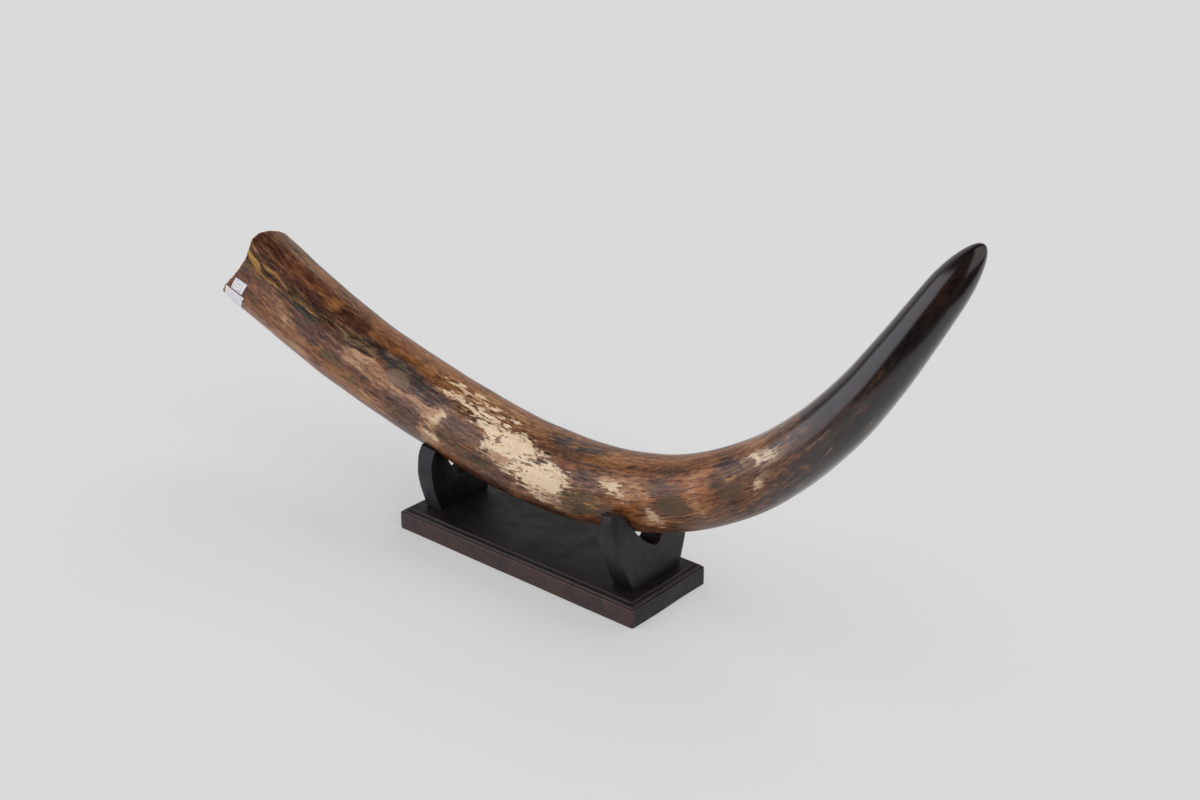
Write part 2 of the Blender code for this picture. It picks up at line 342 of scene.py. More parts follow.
def noise(tree, place, scale, detail=4.0, roughness=0.5, distortion=0.0, output="Fac"):
    sockets = {"Vector": place, "Scale": scale, "Detail": detail, "Roughness": roughness}
    sockets["Distortion"] = distortion
    return put(tree, "ShaderNodeTexNoise", sockets).outputs[output]


def stretched(tree, place, factors, offset=(0, 0, 0)):
    sockets = {"Vector": place, "Scale": factors, "Location": offset}
    return put(tree, "ShaderNodeMapping", sockets, vector_type="POINT").outputs[0]


def shade(red, green, blue):
    """A linear colour from the 0 to 255 values that a paint chart gives."""
    linear = []
    for chart in (red, green, blue):
        value = chart / 255
        linear.append(value / 12.92 if chart <= 10 else ((value + 0.055) / 1.055) ** 2.4)
    return (*linear, 1)


def roughen(tree, shader, height, strength, depth):
    """Fine relief in the shader's own normal."""
    sockets = {"Strength": strength, "Distance": depth, "Height": height}
    tree.links.new(put(tree, "ShaderNodeBump", sockets).outputs[0], shader.inputs["Normal"])


# Sound ivory, and the stains on it.
CREAM = shade(236, 213, 180)
PALE_TAN = shade(192, 150, 114)
TAN = shade(166, 120, 82)
ORANGE = shade(164, 102, 56)
FAWN = shade(166, 112, 72)
AMBER = shade(150, 96, 46)
RUST = shade(128, 76, 42)
RED_BROWN = shade(100, 54, 34)
DARK_RED = shade(70, 36, 26)
UMBER = shade(94, 64, 42)
PLUM = shade(104, 76, 66)
SLATE = shade(68, 62, 62)
OLIVE = shade(98, 78, 50)
MOSS = shade(50, 48, 36)
GOLD = shade(186, 142, 74)
OCHRE = shade(170, 128, 70)
DUN = shade(116, 94, 70)
ASH = shade(88, 78, 76)
VEIN = shade(150, 138, 108)
TAUPE = shade(130, 106, 86)
DISC_OLIVE = shade(88, 70, 50)
SOOT = shade(33, 26, 25)

# Each stain: colour, distance along the axis and angle round it, half its length in
# millimetres and half its arc in degrees, slant, ragged edge, soft edge and strength.
# They lie one over the other in this order.
STAINS = (
    # The root's upper side, dark and red, and the olive flat below its golden vein.
    (RED_BROWN, 76, 70, 92, 21, 0.0, 0.7, 0.25, 1.0),
    (DARK_RED, 20, 67, 44, 13, 0.0, 0.9, 0.5, 0.85),
    (RUST, 70, 66, 60, 9, 0.0, 1.8, 0.6, 0.7),
    (DARK_RED, 100, 57, 60, 7, 0.0, 1.3, 0.5, 0.8),
    (DARK_RED, 147, 76, 22, 14, 0.0, 0.8, 0.4, 0.95),
    (AMBER, 119, 73, 10, 10, 0.0, 0.7, 0.4, 0.75),
    (DUN, 60, 114, 90, 20, 0.0, 0.5, 0.5, 0.7),
    (FAWN, 80, 98, 60, 9, 0.0, 1.0, 0.5, 0.6),
    (FAWN, 250, 104, 130, 18, 0.0, 0.9, 0.5, 0.75),
    (PLUM, 20, 96, 26, 9, 0.0, 0.6, 0.5, 0.6),
    (TAN, 92, 101, 34, 8, 0.0, 0.8, 0.6, 0.55),
    (PLUM, 120, 98, 20, 8, 0.0, 0.6, 0.5, 0.7),
    (RUST, 52, 18, 36, 16, 0.0, 0.4, 0.35, 0.9),
    (UMBER, 48, 24, 26, 9, 0.0, 0.4, 0.5, 0.8),
    (PLUM, 14, 28, 11, 13, 0.0, 0.3, 0.35, 0.9),
    (MOSS, 28, 31, 14, 4, 0.0, 0.6, 0.6, 0.45),
    (RED_BROWN, 130, 24, 44, 18, 0.0, 0.7, 0.5, 0.7),
    (PLUM, 112, 12, 18, 8, 0.0, 0.9, 0.5, 0.5),
    (FAWN, 134, -4, 60, 11, 0.0, 1.4, 0.5, 0.75),
    (TAN, 74, 14, 16, 11, 0.3, 1.6, 0.5, 0.75),
    (PALE_TAN, 80, 8, 7, 6, 0.3, 1.5, 0.5, 0.8),
    (TAN, 88, -3, 26, 5, 0.0, 1.8, 0.5, 0.6),
    (FAWN, 92, -28, 84, 21, 0.0, 0.8, 0.4, 0.85),
    (ORANGE, 60, -14, 24, 10, 0.0, 1.4, 0.5, 0.6),
    (PALE_TAN, 104, -24, 20, 5, 0.0, 1.8, 0.5, 0.7),
    (PLUM, 138, -24, 14, 9, 0.0, 1.0, 0.5, 0.6),
    (FAWN, 188, -20, 44, 22, 0.0, 0.9, 0.4, 0.9),
    (MOSS, 142, 0, 9, 5, 0.0, 0.6, 0.5, 0.55),
    (OLIVE, 152, 6, 16, 6, 0.0, 0.7, 0.5, 0.7),
    (OLIVE, 180, -5, 8, 7, -0.3, 0.7, 0.5, 0.9),
    # Tan and pale patches between the seam and the belly.
    (TAN, 196, 28, 40, 15, 0.0, 0.8, 0.35, 0.95),
    (PALE_TAN, 184, 36, 16, 6, 0.0, 0.9, 0.6, 0.9),
    (PALE_TAN, 180, 19, 18, 5, 0.0, 1.2, 0.6, 0.75),
    (RED_BROWN, 205, 10, 28, 4, 0.0, 1.6, 0.6, 0.6),
    (PALE_TAN, 268, 25, 42, 8, 0.0, 1.2, 0.5, 0.85),
    (GOLD, 206, -22, 16, 7, 0.0, 1.4, 0.5, 0.6),
    (PALE_TAN, 206, -9, 16, 4, 0.0, 1.6, 0.5, 0.7),
    (PLUM, 312, 47, 34, 7, 0.0, 1.1, 0.5, 0.6),
    (PLUM, 256, 6, 32, 15, 0.0, 0.9, 0.4, 0.9),
    (OLIVE, 258, -4, 24, 9, 0.0, 0.9, 0.6, 0.6),
    (PALE_TAN, 296, 24, 13, 26, 0.0, 1.6, 0.5, 0.85),
    (TAN, 316, 46, 20, 8, 0.0, 1.6, 0.5, 0.7),
    (CREAM, 299, 24, 6, 10, 0.0, 1.3, 0.5, 0.7),
    (PALE_TAN, 294, -8, 13, 16, 0.0, 1.3, 0.4, 0.9),
    (CREAM, 298, -3, 7, 5, 0.0, 1.2, 0.5, 0.8),
    (OLIVE, 320, 4, 20, 6, 0.0, 0.9, 0.5, 0.6),
    # The streaked, golden brown of the upper side.
    (RUST, 240, 78, 84, 14, 0.0, 1.2, 0.5, 0.85),
    (AMBER, 236, 72, 60, 5, 0.0, 1.9, 0.5, 0.8),
    (TAN, 262, 82, 40, 4, 0.0, 1.9, 0.5, 0.8),
    (RUST, 380, 80, 110, 14, 0.0, 1.3, 0.5, 0.8),
    (FAWN, 350, 93, 100, 11, 0.0, 1.5, 0.5, 0.85),
    (FAWN, 560, 74, 150, 12, 0.0, 0.9, 0.5, 0.75),
    (GOLD, 318, 82, 40, 8, 0.0, 3.8, 0.9, 0.6),
    (PALE_TAN, 330, 70, 36, 5, 0.0, 3.4, 0.8, 0.6),
    (CREAM, 292, 85, 11, 3.6, -0.3, 3.6, 0.6, 0.8),
    (CREAM, 314, 82, 12, 4.4, -0.6, 3.4, 0.6, 0.8),
    (PALE_TAN, 330, 77, 12, 2.6, 0.2, 3.4, 0.6, 0.9),
    (CREAM, 346, 76, 10, 3.0, 0.2, 3.2, 0.6, 0.85),
    (CREAM, 377, 78, 8, 2.4, 0.2, 3.0, 0.6, 0.8),
    (PALE_TAN, 336, 95, 14, 2.2, 0.0, 2.2, 0.4, 0.8),
    (PALE_TAN, 372, 90, 12, 1.6, 0.0, 2.2, 0.4, 0.7),
    (PALE_TAN, 286, 60, 18, 4, 0.0, 2.6, 0.6, 0.9),
    (CREAM, 293, 60, 11, 3, 0.0, 2.2, 0.5, 0.8),
    (TAN, 335, 97, 40, 4, 0.0, 1.4, 0.5, 0.7),
    (AMBER, 500, 66, 72, 9, 0.0, 1.5, 0.5, 0.85),
    (TAN, 535, 74, 60, 7, 0.0, 1.5, 0.5, 0.8),
    # The cream belly patch, which slants down towards the tip.
    (CREAM, 328, 64, 22, 4, 0.2, 3.2, 0.5, 0.85),
    (CREAM, 360, 61, 24, 6, 0.2, 2.8, 0.4, 0.9),
    (CREAM, 348, 47, 16, 4.0, 0.4, 1.6, 0.4, 0.85),
    (CREAM, 378, 47, 28, 18, 0.3, 1.5, 0.2, 1.0),
    (CREAM, 412, 48, 24, 11, 0.3, 1.8, 0.3, 0.95),
    (CREAM, 398, 28, 38, 25, 0.2, 1.2, 0.2, 1.0),
    (CREAM, 434, 15, 38, 22, 0.0, 1.2, 0.2, 1.0),
    (CREAM, 436, -14, 16, 8, 0.8, 2.4, 0.4, 0.75),
    (PALE_TAN, 456, -22, 11, 14, 0.8, 3.0, 0.6, 0.8),
    (CREAM, 462, -12, 6, 7, 0.6, 2.2, 0.5, 0.7),
    (PLUM, 332, 27, 27, 14, -0.2, 0.8, 0.25, 0.95),
    (CREAM, 402, 43, 22, 15, 0.4, 1.4, 0.25, 1.0),
    (TAN, 384, 18, 16, 7, 0.0, 1.8, 0.5, 0.8),
    (UMBER, 362, -6, 32, 15, 0.0, 0.8, 0.25, 0.95),
    (SLATE, 352, 3, 11, 4, 0.0, 0.9, 0.6, 0.6),
    (OLIVE, 372, -8, 14, 7, 0.0, 0.9, 0.6, 0.6),
    (UMBER, 446, 56, 28, 6, 0.0, 1.8, 0.35, 0.9),
    (RUST, 460, 43, 18, 5, 0.0, 1.8, 0.4, 0.8),
    (AMBER, 324, -17, 24, 8, 0.0, 1.2, 0.5, 0.9),
    # Darker red-brown along the lower side, above the stand.
    (DARK_RED, 370, -42, 100, 15, 0.0, 0.9, 0.5, 0.85),
    (TAN, 405, -30, 12, 12, 0.0, 1.6, 0.6, 0.6),
    # The charcoal cloud on top, with its pale dash and olive heart.
    (SLATE, 462, 78, 34, 13, 0.0, 0.7, 0.35, 0.95),
    (OCHRE, 459, 79, 6, 6, 0.0, 0.9, 0.7, 0.5),
    (DUN, 402, 75, 12, 2.4, 0.0, 0.8, 0.5, 0.95),
    (SLATE, 428, 75, 14, 3, 0.0, 1.0, 0.5, 0.7),
    # Bands across the belly near the second upright.
    (PLUM, 493, 28, 19, 19, 0.0, 0.7, 0.3, 0.95),
    (OLIVE, 490, -8, 27, 18, 0.0, 0.7, 0.3, 0.95),
    (UMBER, 478, -16, 18, 9, 0.0, 0.8, 0.5, 0.6),
    (OCHRE, 497, -7, 2.6, 4, 0.0, 0.5, 0.4, 0.95),
    (ORANGE, 540, 12, 28, 26, 0.0, 0.9, 0.5, 0.85),
    (FAWN, 545, 44, 34, 9, 0.0, 1.2, 0.5, 0.7),
    (TAN, 534, 32, 30, 6, 0.0, 1.6, 0.5, 0.8),
    (PALE_TAN, 534, 20, 22, 10, 0.0, 1.6, 0.6, 0.6),
    (CREAM, 520, 26, 7, 11, 0.6, 2.2, 0.5, 0.85),
    (PALE_TAN, 513, 36, 8, 4, 0.4, 1.4, 0.5, 0.8),
    (FAWN, 556, -26, 22, 12, 0.0, 1.0, 0.5, 0.8),
    (CREAM, 561, -15, 6, 16, 0.2, 1.8, 0.6, 0.6),
    (MOSS, 584, -2, 15, 16, 0.0, 1.6, 0.6, 0.6),
    (DUN, 580, 30, 24, 5, 0.0, 0.8, 0.5, 0.75),
    (ORANGE, 612, 16, 20, 38, 0.0, 0.9, 0.5, 0.9),
    (UMBER, 638, 30, 14, 50, 0.0, 1.0, 0.6, 0.7),
    (FAWN, 618, 46, 26, 12, 0.0, 1.2, 0.5, 0.7),
    (PALE_TAN, 609, 4, 7, 22, 0.0, 2.6, 0.8, 0.6),
    (SLATE, 598, 58, 22, 10, 0.0, 1.0, 0.7, 0.5),
    (RUST, 600, 66, 60, 13, 0.0, 1.1, 0.6, 0.7),
    (UMBER, 582, 50, 22, 12, 0.0, 1.0, 0.5, 0.8),
    (PLUM, 652, 38, 16, 21, 0.0, 0.8, 0.4, 0.9),
    (SLATE, 650, 47, 9, 6, 0.0, 0.8, 0.5, 0.6),
    (OCHRE, 652, 20, 6, 4, 0.0, 0.8, 0.3, 0.95),
    (MOSS, 648, 2, 12, 11, 0.0, 1.6, 0.6, 0.5),
    (RUST, 700, -2, 38, 16, 0.0, 1.4, 0.7, 0.8),
    (PALE_TAN, 690, 28, 18, 14, 0.3, 1.8, 0.4, 0.7),
    (CREAM, 688, 30, 14, 10, 0.3, 1.6, 0.3, 0.9),
    (PALE_TAN, 700, 18, 14, 4, 0.0, 1.8, 0.5, 0.8),
    (PALE_TAN, 680, -6, 9, 11, -0.9, 2.0, 0.5, 0.7),
    (CREAM, 678, -7, 5, 7, -0.9, 1.6, 0.5, 0.6),
    (TAN, 682, 60, 15, 13, 0.0, 1.3, 0.7, 0.7),
    # The charred-looking tip end, and the dark underside that leads to it.
    (PLUM, 676, -38, 22, 10, 0.0, 1.0, 0.5, 0.8),
    (SOOT, 850, 180, 122, 145, 0.0, 0.6, 0.35, 1.0),
    (SOOT, 862, 20, 128, 80, 0.0, 0.9, 0.25, 1.0),
    (SOOT, 790, -58, 130, 36, 0.0, 0.9, 0.4, 0.95),
    (SOOT, 745, -16, 50, 18, 0.0, 1.2, 0.4, 0.8),
    (PLUM, 716, 30, 26, 12, 0.0, 2.0, 0.7, 0.4),
    (DARK_RED, 736, 8, 36, 10, 0.0, 3.0, 0.8, 0.65),
    (UMBER, 752, -12, 44, 10, 0.0, 3.2, 0.8, 0.22),
    (DARK_RED, 790, 2, 30, 9, 0.0, 2.8, 0.8, 0.5),
    (UMBER, 812, 2, 8, 4, 0.0, 2.4, 0.7, 0.4),
    (DARK_RED, 905, 4, 28, 18, 0.0, 2.2, 0.7, 0.35),
    (RED_BROWN, 784, -16, 3, 3, 0.0, 0.8, 0.6, 0.8),
    (OCHRE, 738, -3, 10, 1.2, 0.0, 1.2, 0.7, 0.45),
    (OCHRE, 740, -27, 7, 1.2, 0.0, 1.2, 0.7, 0.35),
    (OLIVE, 775, -49, 13, 4, 0.0, 1.0, 0.7, 0.5),
    # Stains of the side that faces away.
    (RED_BROWN, 110, 175, 120, 45, 0.0, 0.9, 0.5, 0.8),
    (TAN, 250, 160, 70, 26, 0.0, 1.1, 0.5, 0.8),
    (PLUM, 300, 205, 50, 34, 0.0, 0.8, 0.4, 0.8),
    (CREAM, 400, 170, 56, 26, 0.2, 1.3, 0.25, 0.95),
    (CREAM, 440, 215, 34, 18, 0.0, 1.4, 0.3, 0.85),
    (UMBER, 490, 180, 32, 44, 0.0, 0.7, 0.4, 0.9),
    (ORANGE, 560, 190, 46, 40, 0.0, 0.9, 0.5, 0.8),
    (OLIVE, 610, 150, 20, 24, 0.0, 0.6, 0.3, 0.85),
    (CREAM, 655, 185, 22, 16, 0.2, 1.3, 0.4, 0.75),
    (SLATE, 200, 230, 40, 14, 0.0, 0.7, 0.5, 0.8),
)

# The seam: an old crack, filled in places, that wanders along the root end. Each stretch:
# colour, start and end as (distance, angle), half its width in millimetres, ragged edge.
SEAM = (
    (UMBER, (58, 41), (116, 41), 7.0, 0.8),
    (OLIVE, (64, 42), (114, 41), 4.6, 1.0),
    (MOSS, (80, 34), (112, 33), 3.8, 1.0),
    (OCHRE, (96, 39), (114, 42), 0.8, 1.6),
    (OLIVE, (146, 49), (178, 50), 6.5, 0.7),
    (DUN, (150, 45), (200, 50), 3.2, 0.8),
    (SLATE, (166, 60), (206, 61), 4.0, 0.8),
    (DARK_RED, (182, 64), (202, 64), 3.0, 0.6),
    (MOSS, (178, 60), (206, 60), 1.3, 0.7),
    (SLATE, (198, 58), (250, 59), 4.6, 0.8),
    (ASH, (222, 50), (300, 45), 8.5, 1.0),
    (SLATE, (206, 53), (266, 54), 5.0, 0.9),
    (MOSS, (60, 47), (120, 48), 0.9, 0.6),
    (DUN, (118, 48), (150, 49), 0.6, 0.5),
    (MOSS, (112, 46), (152, 47), 0.8, 0.6),
    (DARK_RED, (160, 40), (196, 45), 1.6, 0.8),
    (GOLD, (2, 45), (18, 42), 1.7, 0.5),
    (GOLD, (12, 42), (32, 36), 3.3, 0.5),
    (OCHRE, (26, 33), (58, 34), 1.5, 0.6),
    (TAN, (2, 55), (20, 51), 1.1, 0.6),
    (RUST, (16, 51), (32, 46), 1.2, 0.6),
    (OCHRE, (28, 44), (50, 45), 1.4, 0.9),
    (TAN, (44, 44), (64, 42), 1.2, 0.8),
    (MOSS, (14, 47), (34, 40), 0.9, 0.5),
    (MOSS, (32, 40), (62, 38), 0.9, 0.6),
    (MOSS, (26, 94), (70, 92), 2.0, 0.4),
    (VEIN, (30, 93), (66, 92), 1.1, 0.4),
    (VEIN, (64, 91), (106, 89), 0.9, 0.5),
)
# Round stains with a clear edge: colour, place, angle, half length, half arc and strength.
ROUND_STAINS = (
    (TAUPE, 234, 40, 15, 11, 0.65),
    (DARK_RED, 154, 68, 14, 8, 0.6),
    (OLIVE, 150, 4, 13, 6, 0.4),
    (OLIVE, 182, -6, 7, 6, 0.5),
    (AMBER, 118, 72, 6, 5, 0.5),
    (ASH, 585, 24, 22, 8, 0.3),
    (DISC_OLIVE, 585, 0, 16, 17, 0.6),
    (DISC_OLIVE, 648, 0, 14, 12, 0.65),
)
# Where brown flecks crowd into the sound ivory: place, angle, half length and half arc.
FLECK_CROWDS = (
    (412, 24, 16, 11),
    (380, 44, 14, 8),
    (362, 60, 30, 6),
    (456, 20, 9, 7),
    (436, 44, 18, 7),
    (396, 62, 14, 6),
    (440, -8, 20, 7),
    (516, 26, 14, 14),
    (690, 24, 18, 12),
)


def make_stain_group():
    """A node group that gives the mask of one stain at a warped place on the tusk."""
    group = bpy.data.node_groups.new("stain", "ShaderNodeTree")
    names = ("Along", "Around", "Streaks", "Centre Along", "Centre Around", "Half Length", "Half Arc")
    names += ("Slant", "Ragged", "Soft", "Strength")
    for name in names:
        group.interface.new_socket(name, in_out="INPUT", socket_type="NodeSocketFloat")
    group.interface.new_socket("Mask", in_out="OUTPUT", socket_type="NodeSocketFloat")
    given = group.nodes.new("NodeGroupInput").outputs
    up = calc(group, "SUBTRACT", given["Around"], given["Centre Around"])
    up = calc(group, "DIVIDE", calc(group, "WRAP", up, math.pi, -math.pi), given["Half Arc"])
    on = calc(group, "SUBTRACT", given["Along"], given["Centre Along"])
    on = calc(group, "DIVIDE", on, given["Half Length"])
    on = calc(group, "MULTIPLY_ADD", up, given["Slant"], on)
    reach = put(group, "ShaderNodeCombineXYZ", {0: on, 1: up}).outputs[0]
    reach = put(group, "ShaderNodeVectorMath", {0: reach}, operation="LENGTH").outputs["Value"]
    reach = calc(group, "MULTIPLY_ADD", given["Streaks"], given["Ragged"], reach)
    outer = calc(group, "ADD", 1.0, given["Soft"])
    inner = calc(group, "SUBTRACT", 1.0, given["Soft"])
    mask = times(group, ramp(group, reach, outer, inner), given["Strength"])
    group.links.new(mask, group.nodes.new("NodeGroupOutput").inputs["Mask"])
    return group


def make_ivory():
    material, tree, shader = new_material("polished_fossil_ivory")
    place = attribute(tree, "straightened")
    parts = parted(tree, place)
    angle = calc(tree, "ARCTAN2", parts[2], parts[1])

    def grained(squeeze, offset, scale, detail, roughness, distortion):
        """Noise drawn out along the tusk: squeeze is how slowly it changes that way."""
        drawn_out = stretched(tree, place, (squeeze, 1, 1), offset)
        return noise(tree, drawn_out, scale, detail, roughness, distortion)

    # Two kinds of unevenness: slow clouds, and fibres that run along the tusk.
    clouds = noise(tree, place, 36.0, 6.0, 0.58, output="Color")
    cloud = put(tree, "ShaderNodeSeparateColor", {0: clouds}).outputs
    fibre_place = stretched(tree, place, (0.15, 1, 1))
    fibres = noise(tree, fibre_place, 280.0, 6.0, 0.65, 0.5, output="Color")
    fibre = put(tree, "ShaderNodeSeparateColor", {0: fibres}).outputs
    dashes = grained(0.26, (3, 5, 7), 360.0, 4.0, 0.6, 0.3)

    def sway(value, wave, amount):
        return calc(tree, "MULTIPLY_ADD", calc(tree, "SUBTRACT", wave, 0.5), amount, value)

    along = sway(sway(parts[0], cloud[0], 0.036), fibre[0], 0.034)
    around = sway(sway(angle, cloud[1], 0.44), fibre[1], 0.12)
    streaks = times(tree, calc(tree, "SUBTRACT", dashes, 0.5), 2.2)

    # The ground colour: brown root, warmer belly, dark tip.
    ground = mix(tree, ramp(tree, cloud[2], 0.40, 0.60), UMBER, RUST)
    ground = mix(tree, ramp(tree, fibre[2], 0.46, 0.64), ground, PLUM)
    colour = mix(tree, ramp(tree, along, 0.68, 0.79), ground, SOOT)

    stain_group = make_stain_group()

    def cover(place_at, centre, half_size, slant, ragged, soft, strength):
        """How strongly a stain of that shape covers each place."""
        shape = {
            "Along": place_at[0],
            "Around": place_at[1],
            "Streaks": streaks,
            "Centre Along": centre[0] / 1000,
            "Centre Around": math.radians(centre[1]),
            "Half Length": half_size[0] / 1000,
            "Half Arc": math.radians(half_size[1]),
            "Slant": slant,
            "Ragged": ragged,
            "Soft": soft,
            "Strength": strength,
        }
        return put(tree, "ShaderNodeGroup", shape, node_tree=stain_group).outputs[0]

    swayed = (along, around)
    for tint, at, turn, half_length, half_arc, slant, ragged, soft, strength in STAINS:
        size = (half_length, half_arc)
        mask = cover(swayed, (at, turn), size, slant, ragged, soft, strength)
        colour = mix(tree, mask, colour, tint)

    # The seam keeps its true place but for a small tremble.
    near_along = sway(sway(parts[0], cloud[0], 0.010), fibre[0], 0.010)
    near_around = sway(sway(angle, cloud[1], 0.16), fibre[1], 0.07)
    for tint, start, end, half_width, ragged in SEAM:
        middle = ((start[0] + end[0]) / 2, (start[1] + end[1]) / 2)
        size = ((end[0] - start[0]) / 2 * 1.12, math.degrees(half_width / 42))
        climb = math.radians(end[1] - start[1]) / ((end[0] - start[0]) / 1000)
        follow = calc(tree, "SUBTRACT", near_along, middle[0] / 1000)
        level = calc(tree, "MULTIPLY_ADD", follow, -climb, near_around)
        mask = cover((near_along, level), middle, size, 0.0, ragged, 0.3, 0.95)
        colour = mix(tree, mask, colour, tint)

    # How light the ivory is here: flecks show on sound ivory, pale fibres in the browns.
    light = put(tree, "ShaderNodeRGBToBW", {0: colour}).outputs[0]
    sound = ramp(tree, light, 0.22, 0.36)
    living = ramp(tree, light, 0.015, 0.06)

    def by_soundness(mask, on_stained, on_sound):
        """The mask, at one strength on stained ivory and another on sound."""
        return times(tree, mask, ramp(tree, sound, 0.0, 1.0, on_stained, on_sound))

    # Mottling a few millimetres across.
    mottle = grained(0.45, (7, 7, 1), 210.0, 4.0, 0.6, 0.8)
    shaded = by_soundness(ramp(tree, mottle, 0.52, 0.40), 0.42, 0.1)
    colour = darken(tree, shaded, colour, shade(140, 108, 92))
    warmed = times(tree, ramp(tree, mottle, 0.52, 0.64), living)
    colour = mix(tree, times(tree, warmed, 0.24), colour, shade(186, 116, 66))

    # Broad streaks first, darker and lighter, then threads half a millimetre wide.
    bands = grained(0.09, (5, 1, 2), 300.0, 5.0, 0.6, 0.6)
    deep = by_soundness(ramp(tree, bands, 0.50, 0.36), 0.60, 0.12)
    colour = darken(tree, deep, colour, shade(160, 122, 100))
    raised = times(tree, ramp(tree, bands, 0.54, 0.68), living)
    colour = mix(tree, times(tree, raised, 0.40), colour, shade(190, 134, 84))
    threads = grained(0.10, (11, 2, 5), 760.0, 4.0, 0.62, 0.3)
    busy = ramp(tree, cloud[2], 0.34, 0.62, 0.35, 1.0)
    dark = by_soundness(times(tree, ramp(tree, threads, 0.50, 0.38), busy), 0.75, 0.10)
    colour = darken(tree, dark, colour, shade(112, 78, 62))
    pale = times(tree, ramp(tree, threads, 0.56, 0.70), living)
    colour = mix(tree, times(tree, pale, 0.30), colour, shade(206, 160, 112))

    # Hair-fine dark lines, long and broken, where the layers of growth have opened.
    lines = grained(0.055, (2, 9, 4), 170.0, 3.0, 0.55, 0.4)
    line = ramp(tree, calc(tree, "ABSOLUTE", calc(tree, "SUBTRACT", lines, 0.5)), 0.016, 0.003)
    line = by_soundness(times(tree, line, ramp(tree, dashes, 0.44, 0.56)), 0.85, 0.04)
    colour = darken(tree, line, colour, shade(92, 62, 50))

    # The round stains lie over the grain like a film.
    near = (near_along, near_around)
    for tint, at, turn, half_length, half_arc, strength in ROUND_STAINS:
        mask = cover(near, (at, turn), (half_length, half_arc), 0.0, 0.15, 0.16, strength)
        colour = mix(tree, mask, colour, tint)

    # Brown flecks where the sound ivory starts to stain.
    flecks = sway(grained(0.30, (1, 8, 3), 430.0, 3.0, 0.55, 0.4), cloud[0], 0.35)
    for at, turn, half_length, half_arc in FLECK_CROWDS:
        crowd = cover(near, (at, turn), (half_length, half_arc), 0.0, 0.2, 0.6, 0.055)
        flecks = calc(tree, "ADD", flecks, crowd)
    fleck = times(tree, ramp(tree, flecks, 0.60, 0.64), sound)
    colour = mix(tree, times(tree, fleck, 0.9), colour, shade(118, 74, 46))

    # Crazing, as fine as old glaze, in the cloudy parts.
    wobble = {0: noise(tree, place, 300.0, 2.0, output="Color"), 1: (0.0022, 0.0022, 0.0022)}
    wobble = put(tree, "ShaderNodeVectorMath", wobble, operation="MULTIPLY").outputs[0]
    craze_place = {0: stretched(tree, place, (0.7, 1, 1)), 1: wobble}
    craze_place = put(tree, "ShaderNodeVectorMath", craze_place).outputs[0]
    cells = {"Vector": craze_place, "Scale": 430.0}
    cells = put(tree, "ShaderNodeTexVoronoi", cells, feature="DISTANCE_TO_EDGE")
    craze = ramp(tree, cells.outputs["Distance"], 0.10, 0.0)
    craze = by_soundness(times(tree, craze, ramp(tree, cloud[1], 0.46, 0.62)), 0.5, 0.0)
    colour = darken(tree, craze, colour, shade(96, 80, 66))

    # The broken edge shows a line of bare golden ivory.
    edge = calc(tree, "MULTIPLY_ADD", dashes, 0.0022, attribute(tree, "from_rim", "Fac"))
    colour = mix(tree, ramp(tree, edge, 0.0026, 0.0016, 0.0, 0.8), colour, shade(170, 128, 66))

    tree.links.new(colour, shader.inputs["Base Color"])
    # The dense dark tip takes the polish best; the pale ivory behind it keeps a waxy look.
    polish = ramp(tree, parts[0], 0.62, 0.74)
    tree.links.new(ramp(tree, polish, 0.0, 1.0, 0.34, 0.20), shader.inputs["Roughness"])
    tree.links.new(ramp(tree, polish, 0.0, 1.0, 0.12, 1.0), shader.inputs["Coat Weight"])
    roughen(tree, shader, threads, 0.15, 0.0002)
    shader.inputs["IOR"].default_value = 1.5
    shader.inputs["Specular IOR Level"].default_value = 0.30
    shader.inputs["Coat IOR"].default_value = 1.5
    shader.inputs["Coat Roughness"].default_value = 0.19
    return material


def make_rim():
    material, tree, shader = new_material("broken_ivory_edge")
    layers = noise(tree, attribute(tree, "straightened"), 420.0, 4.0, 0.6)
    colour = mix(tree, ramp(tree, layers, 0.4, 0.62), OCHRE, TAN)
    tree.links.new(colour, shader.inputs["Base Color"])
    shader.inputs["Roughness"].default_value = 0.45
    roughen(tree, shader, layers, 0.4, 0.0004)
    return material


def make_hollow():
    material, tree, shader = new_material("pulp_cavity_wall")
    place = attribute(tree, "straightened")
    rings = noise(tree, stretched(tree, place, (3, 1, 1)), 90.0, 5.0, 0.6)
    colour = mix(tree, ramp(tree, rings, 0.35, 0.65), DARK_RED, UMBER)
    tree.links.new(colour, shader.inputs["Base Color"])
    shader.inputs["Roughness"].default_value = 0.7
    roughen(tree, shader, rings, 0.5, 0.0008)
    return material


for finish in (make_ivory(), make_rim(), make_hollow()):
    tusk_mesh.materials.append(finish)
tusk_mesh.polygons.foreach_set("material_index", slots.astype(np.int32))
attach(tusk, "root")
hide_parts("tusk")


# ---------------------------------------------------------------------------------------------
# The stand's board. A plank of close-grained hardwood with square sides, a routed ledge and a
# rounded moulding up to its flat top, mitre-true at the corners. It is stained near black, and
# its red wood shows through where hands and cloths have rubbed the edges; its grooves are
# darkened with painted shade.

board_low, board_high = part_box("stand_base")
BOARD_CORNER = 0.0024
LONG_SIDE_PARTS = 60
SHORT_SIDE_PARTS = 22
# The moulding in section: how far in from the side, and how high, in millimetres.
BOARD_SECTION = (
    (0.6, 0), (0.15, 0.15), (0, 0.6), (0, 6), (0, 12), (0, 16.9), (0.12, 17.4), (0.4, 17.7), (0.8, 17.8),
    (1.4, 17.8), (1.8, 17.75), (1.95, 17.9), (2.05, 18.5), (2.35, 19.2), (2.9, 19.75), (3.6, 20.05),
    (4.5, 20.15), (5.0, 20.15), (5.4, 20.25), (5.75, 20.45), (6.05, 20.75), (6.25, 21.15), (6.35, 21.6),
    (6.4, 21.9), (6.55, 22.12), (6.9, 22.2), (8.0, 22.2),
)


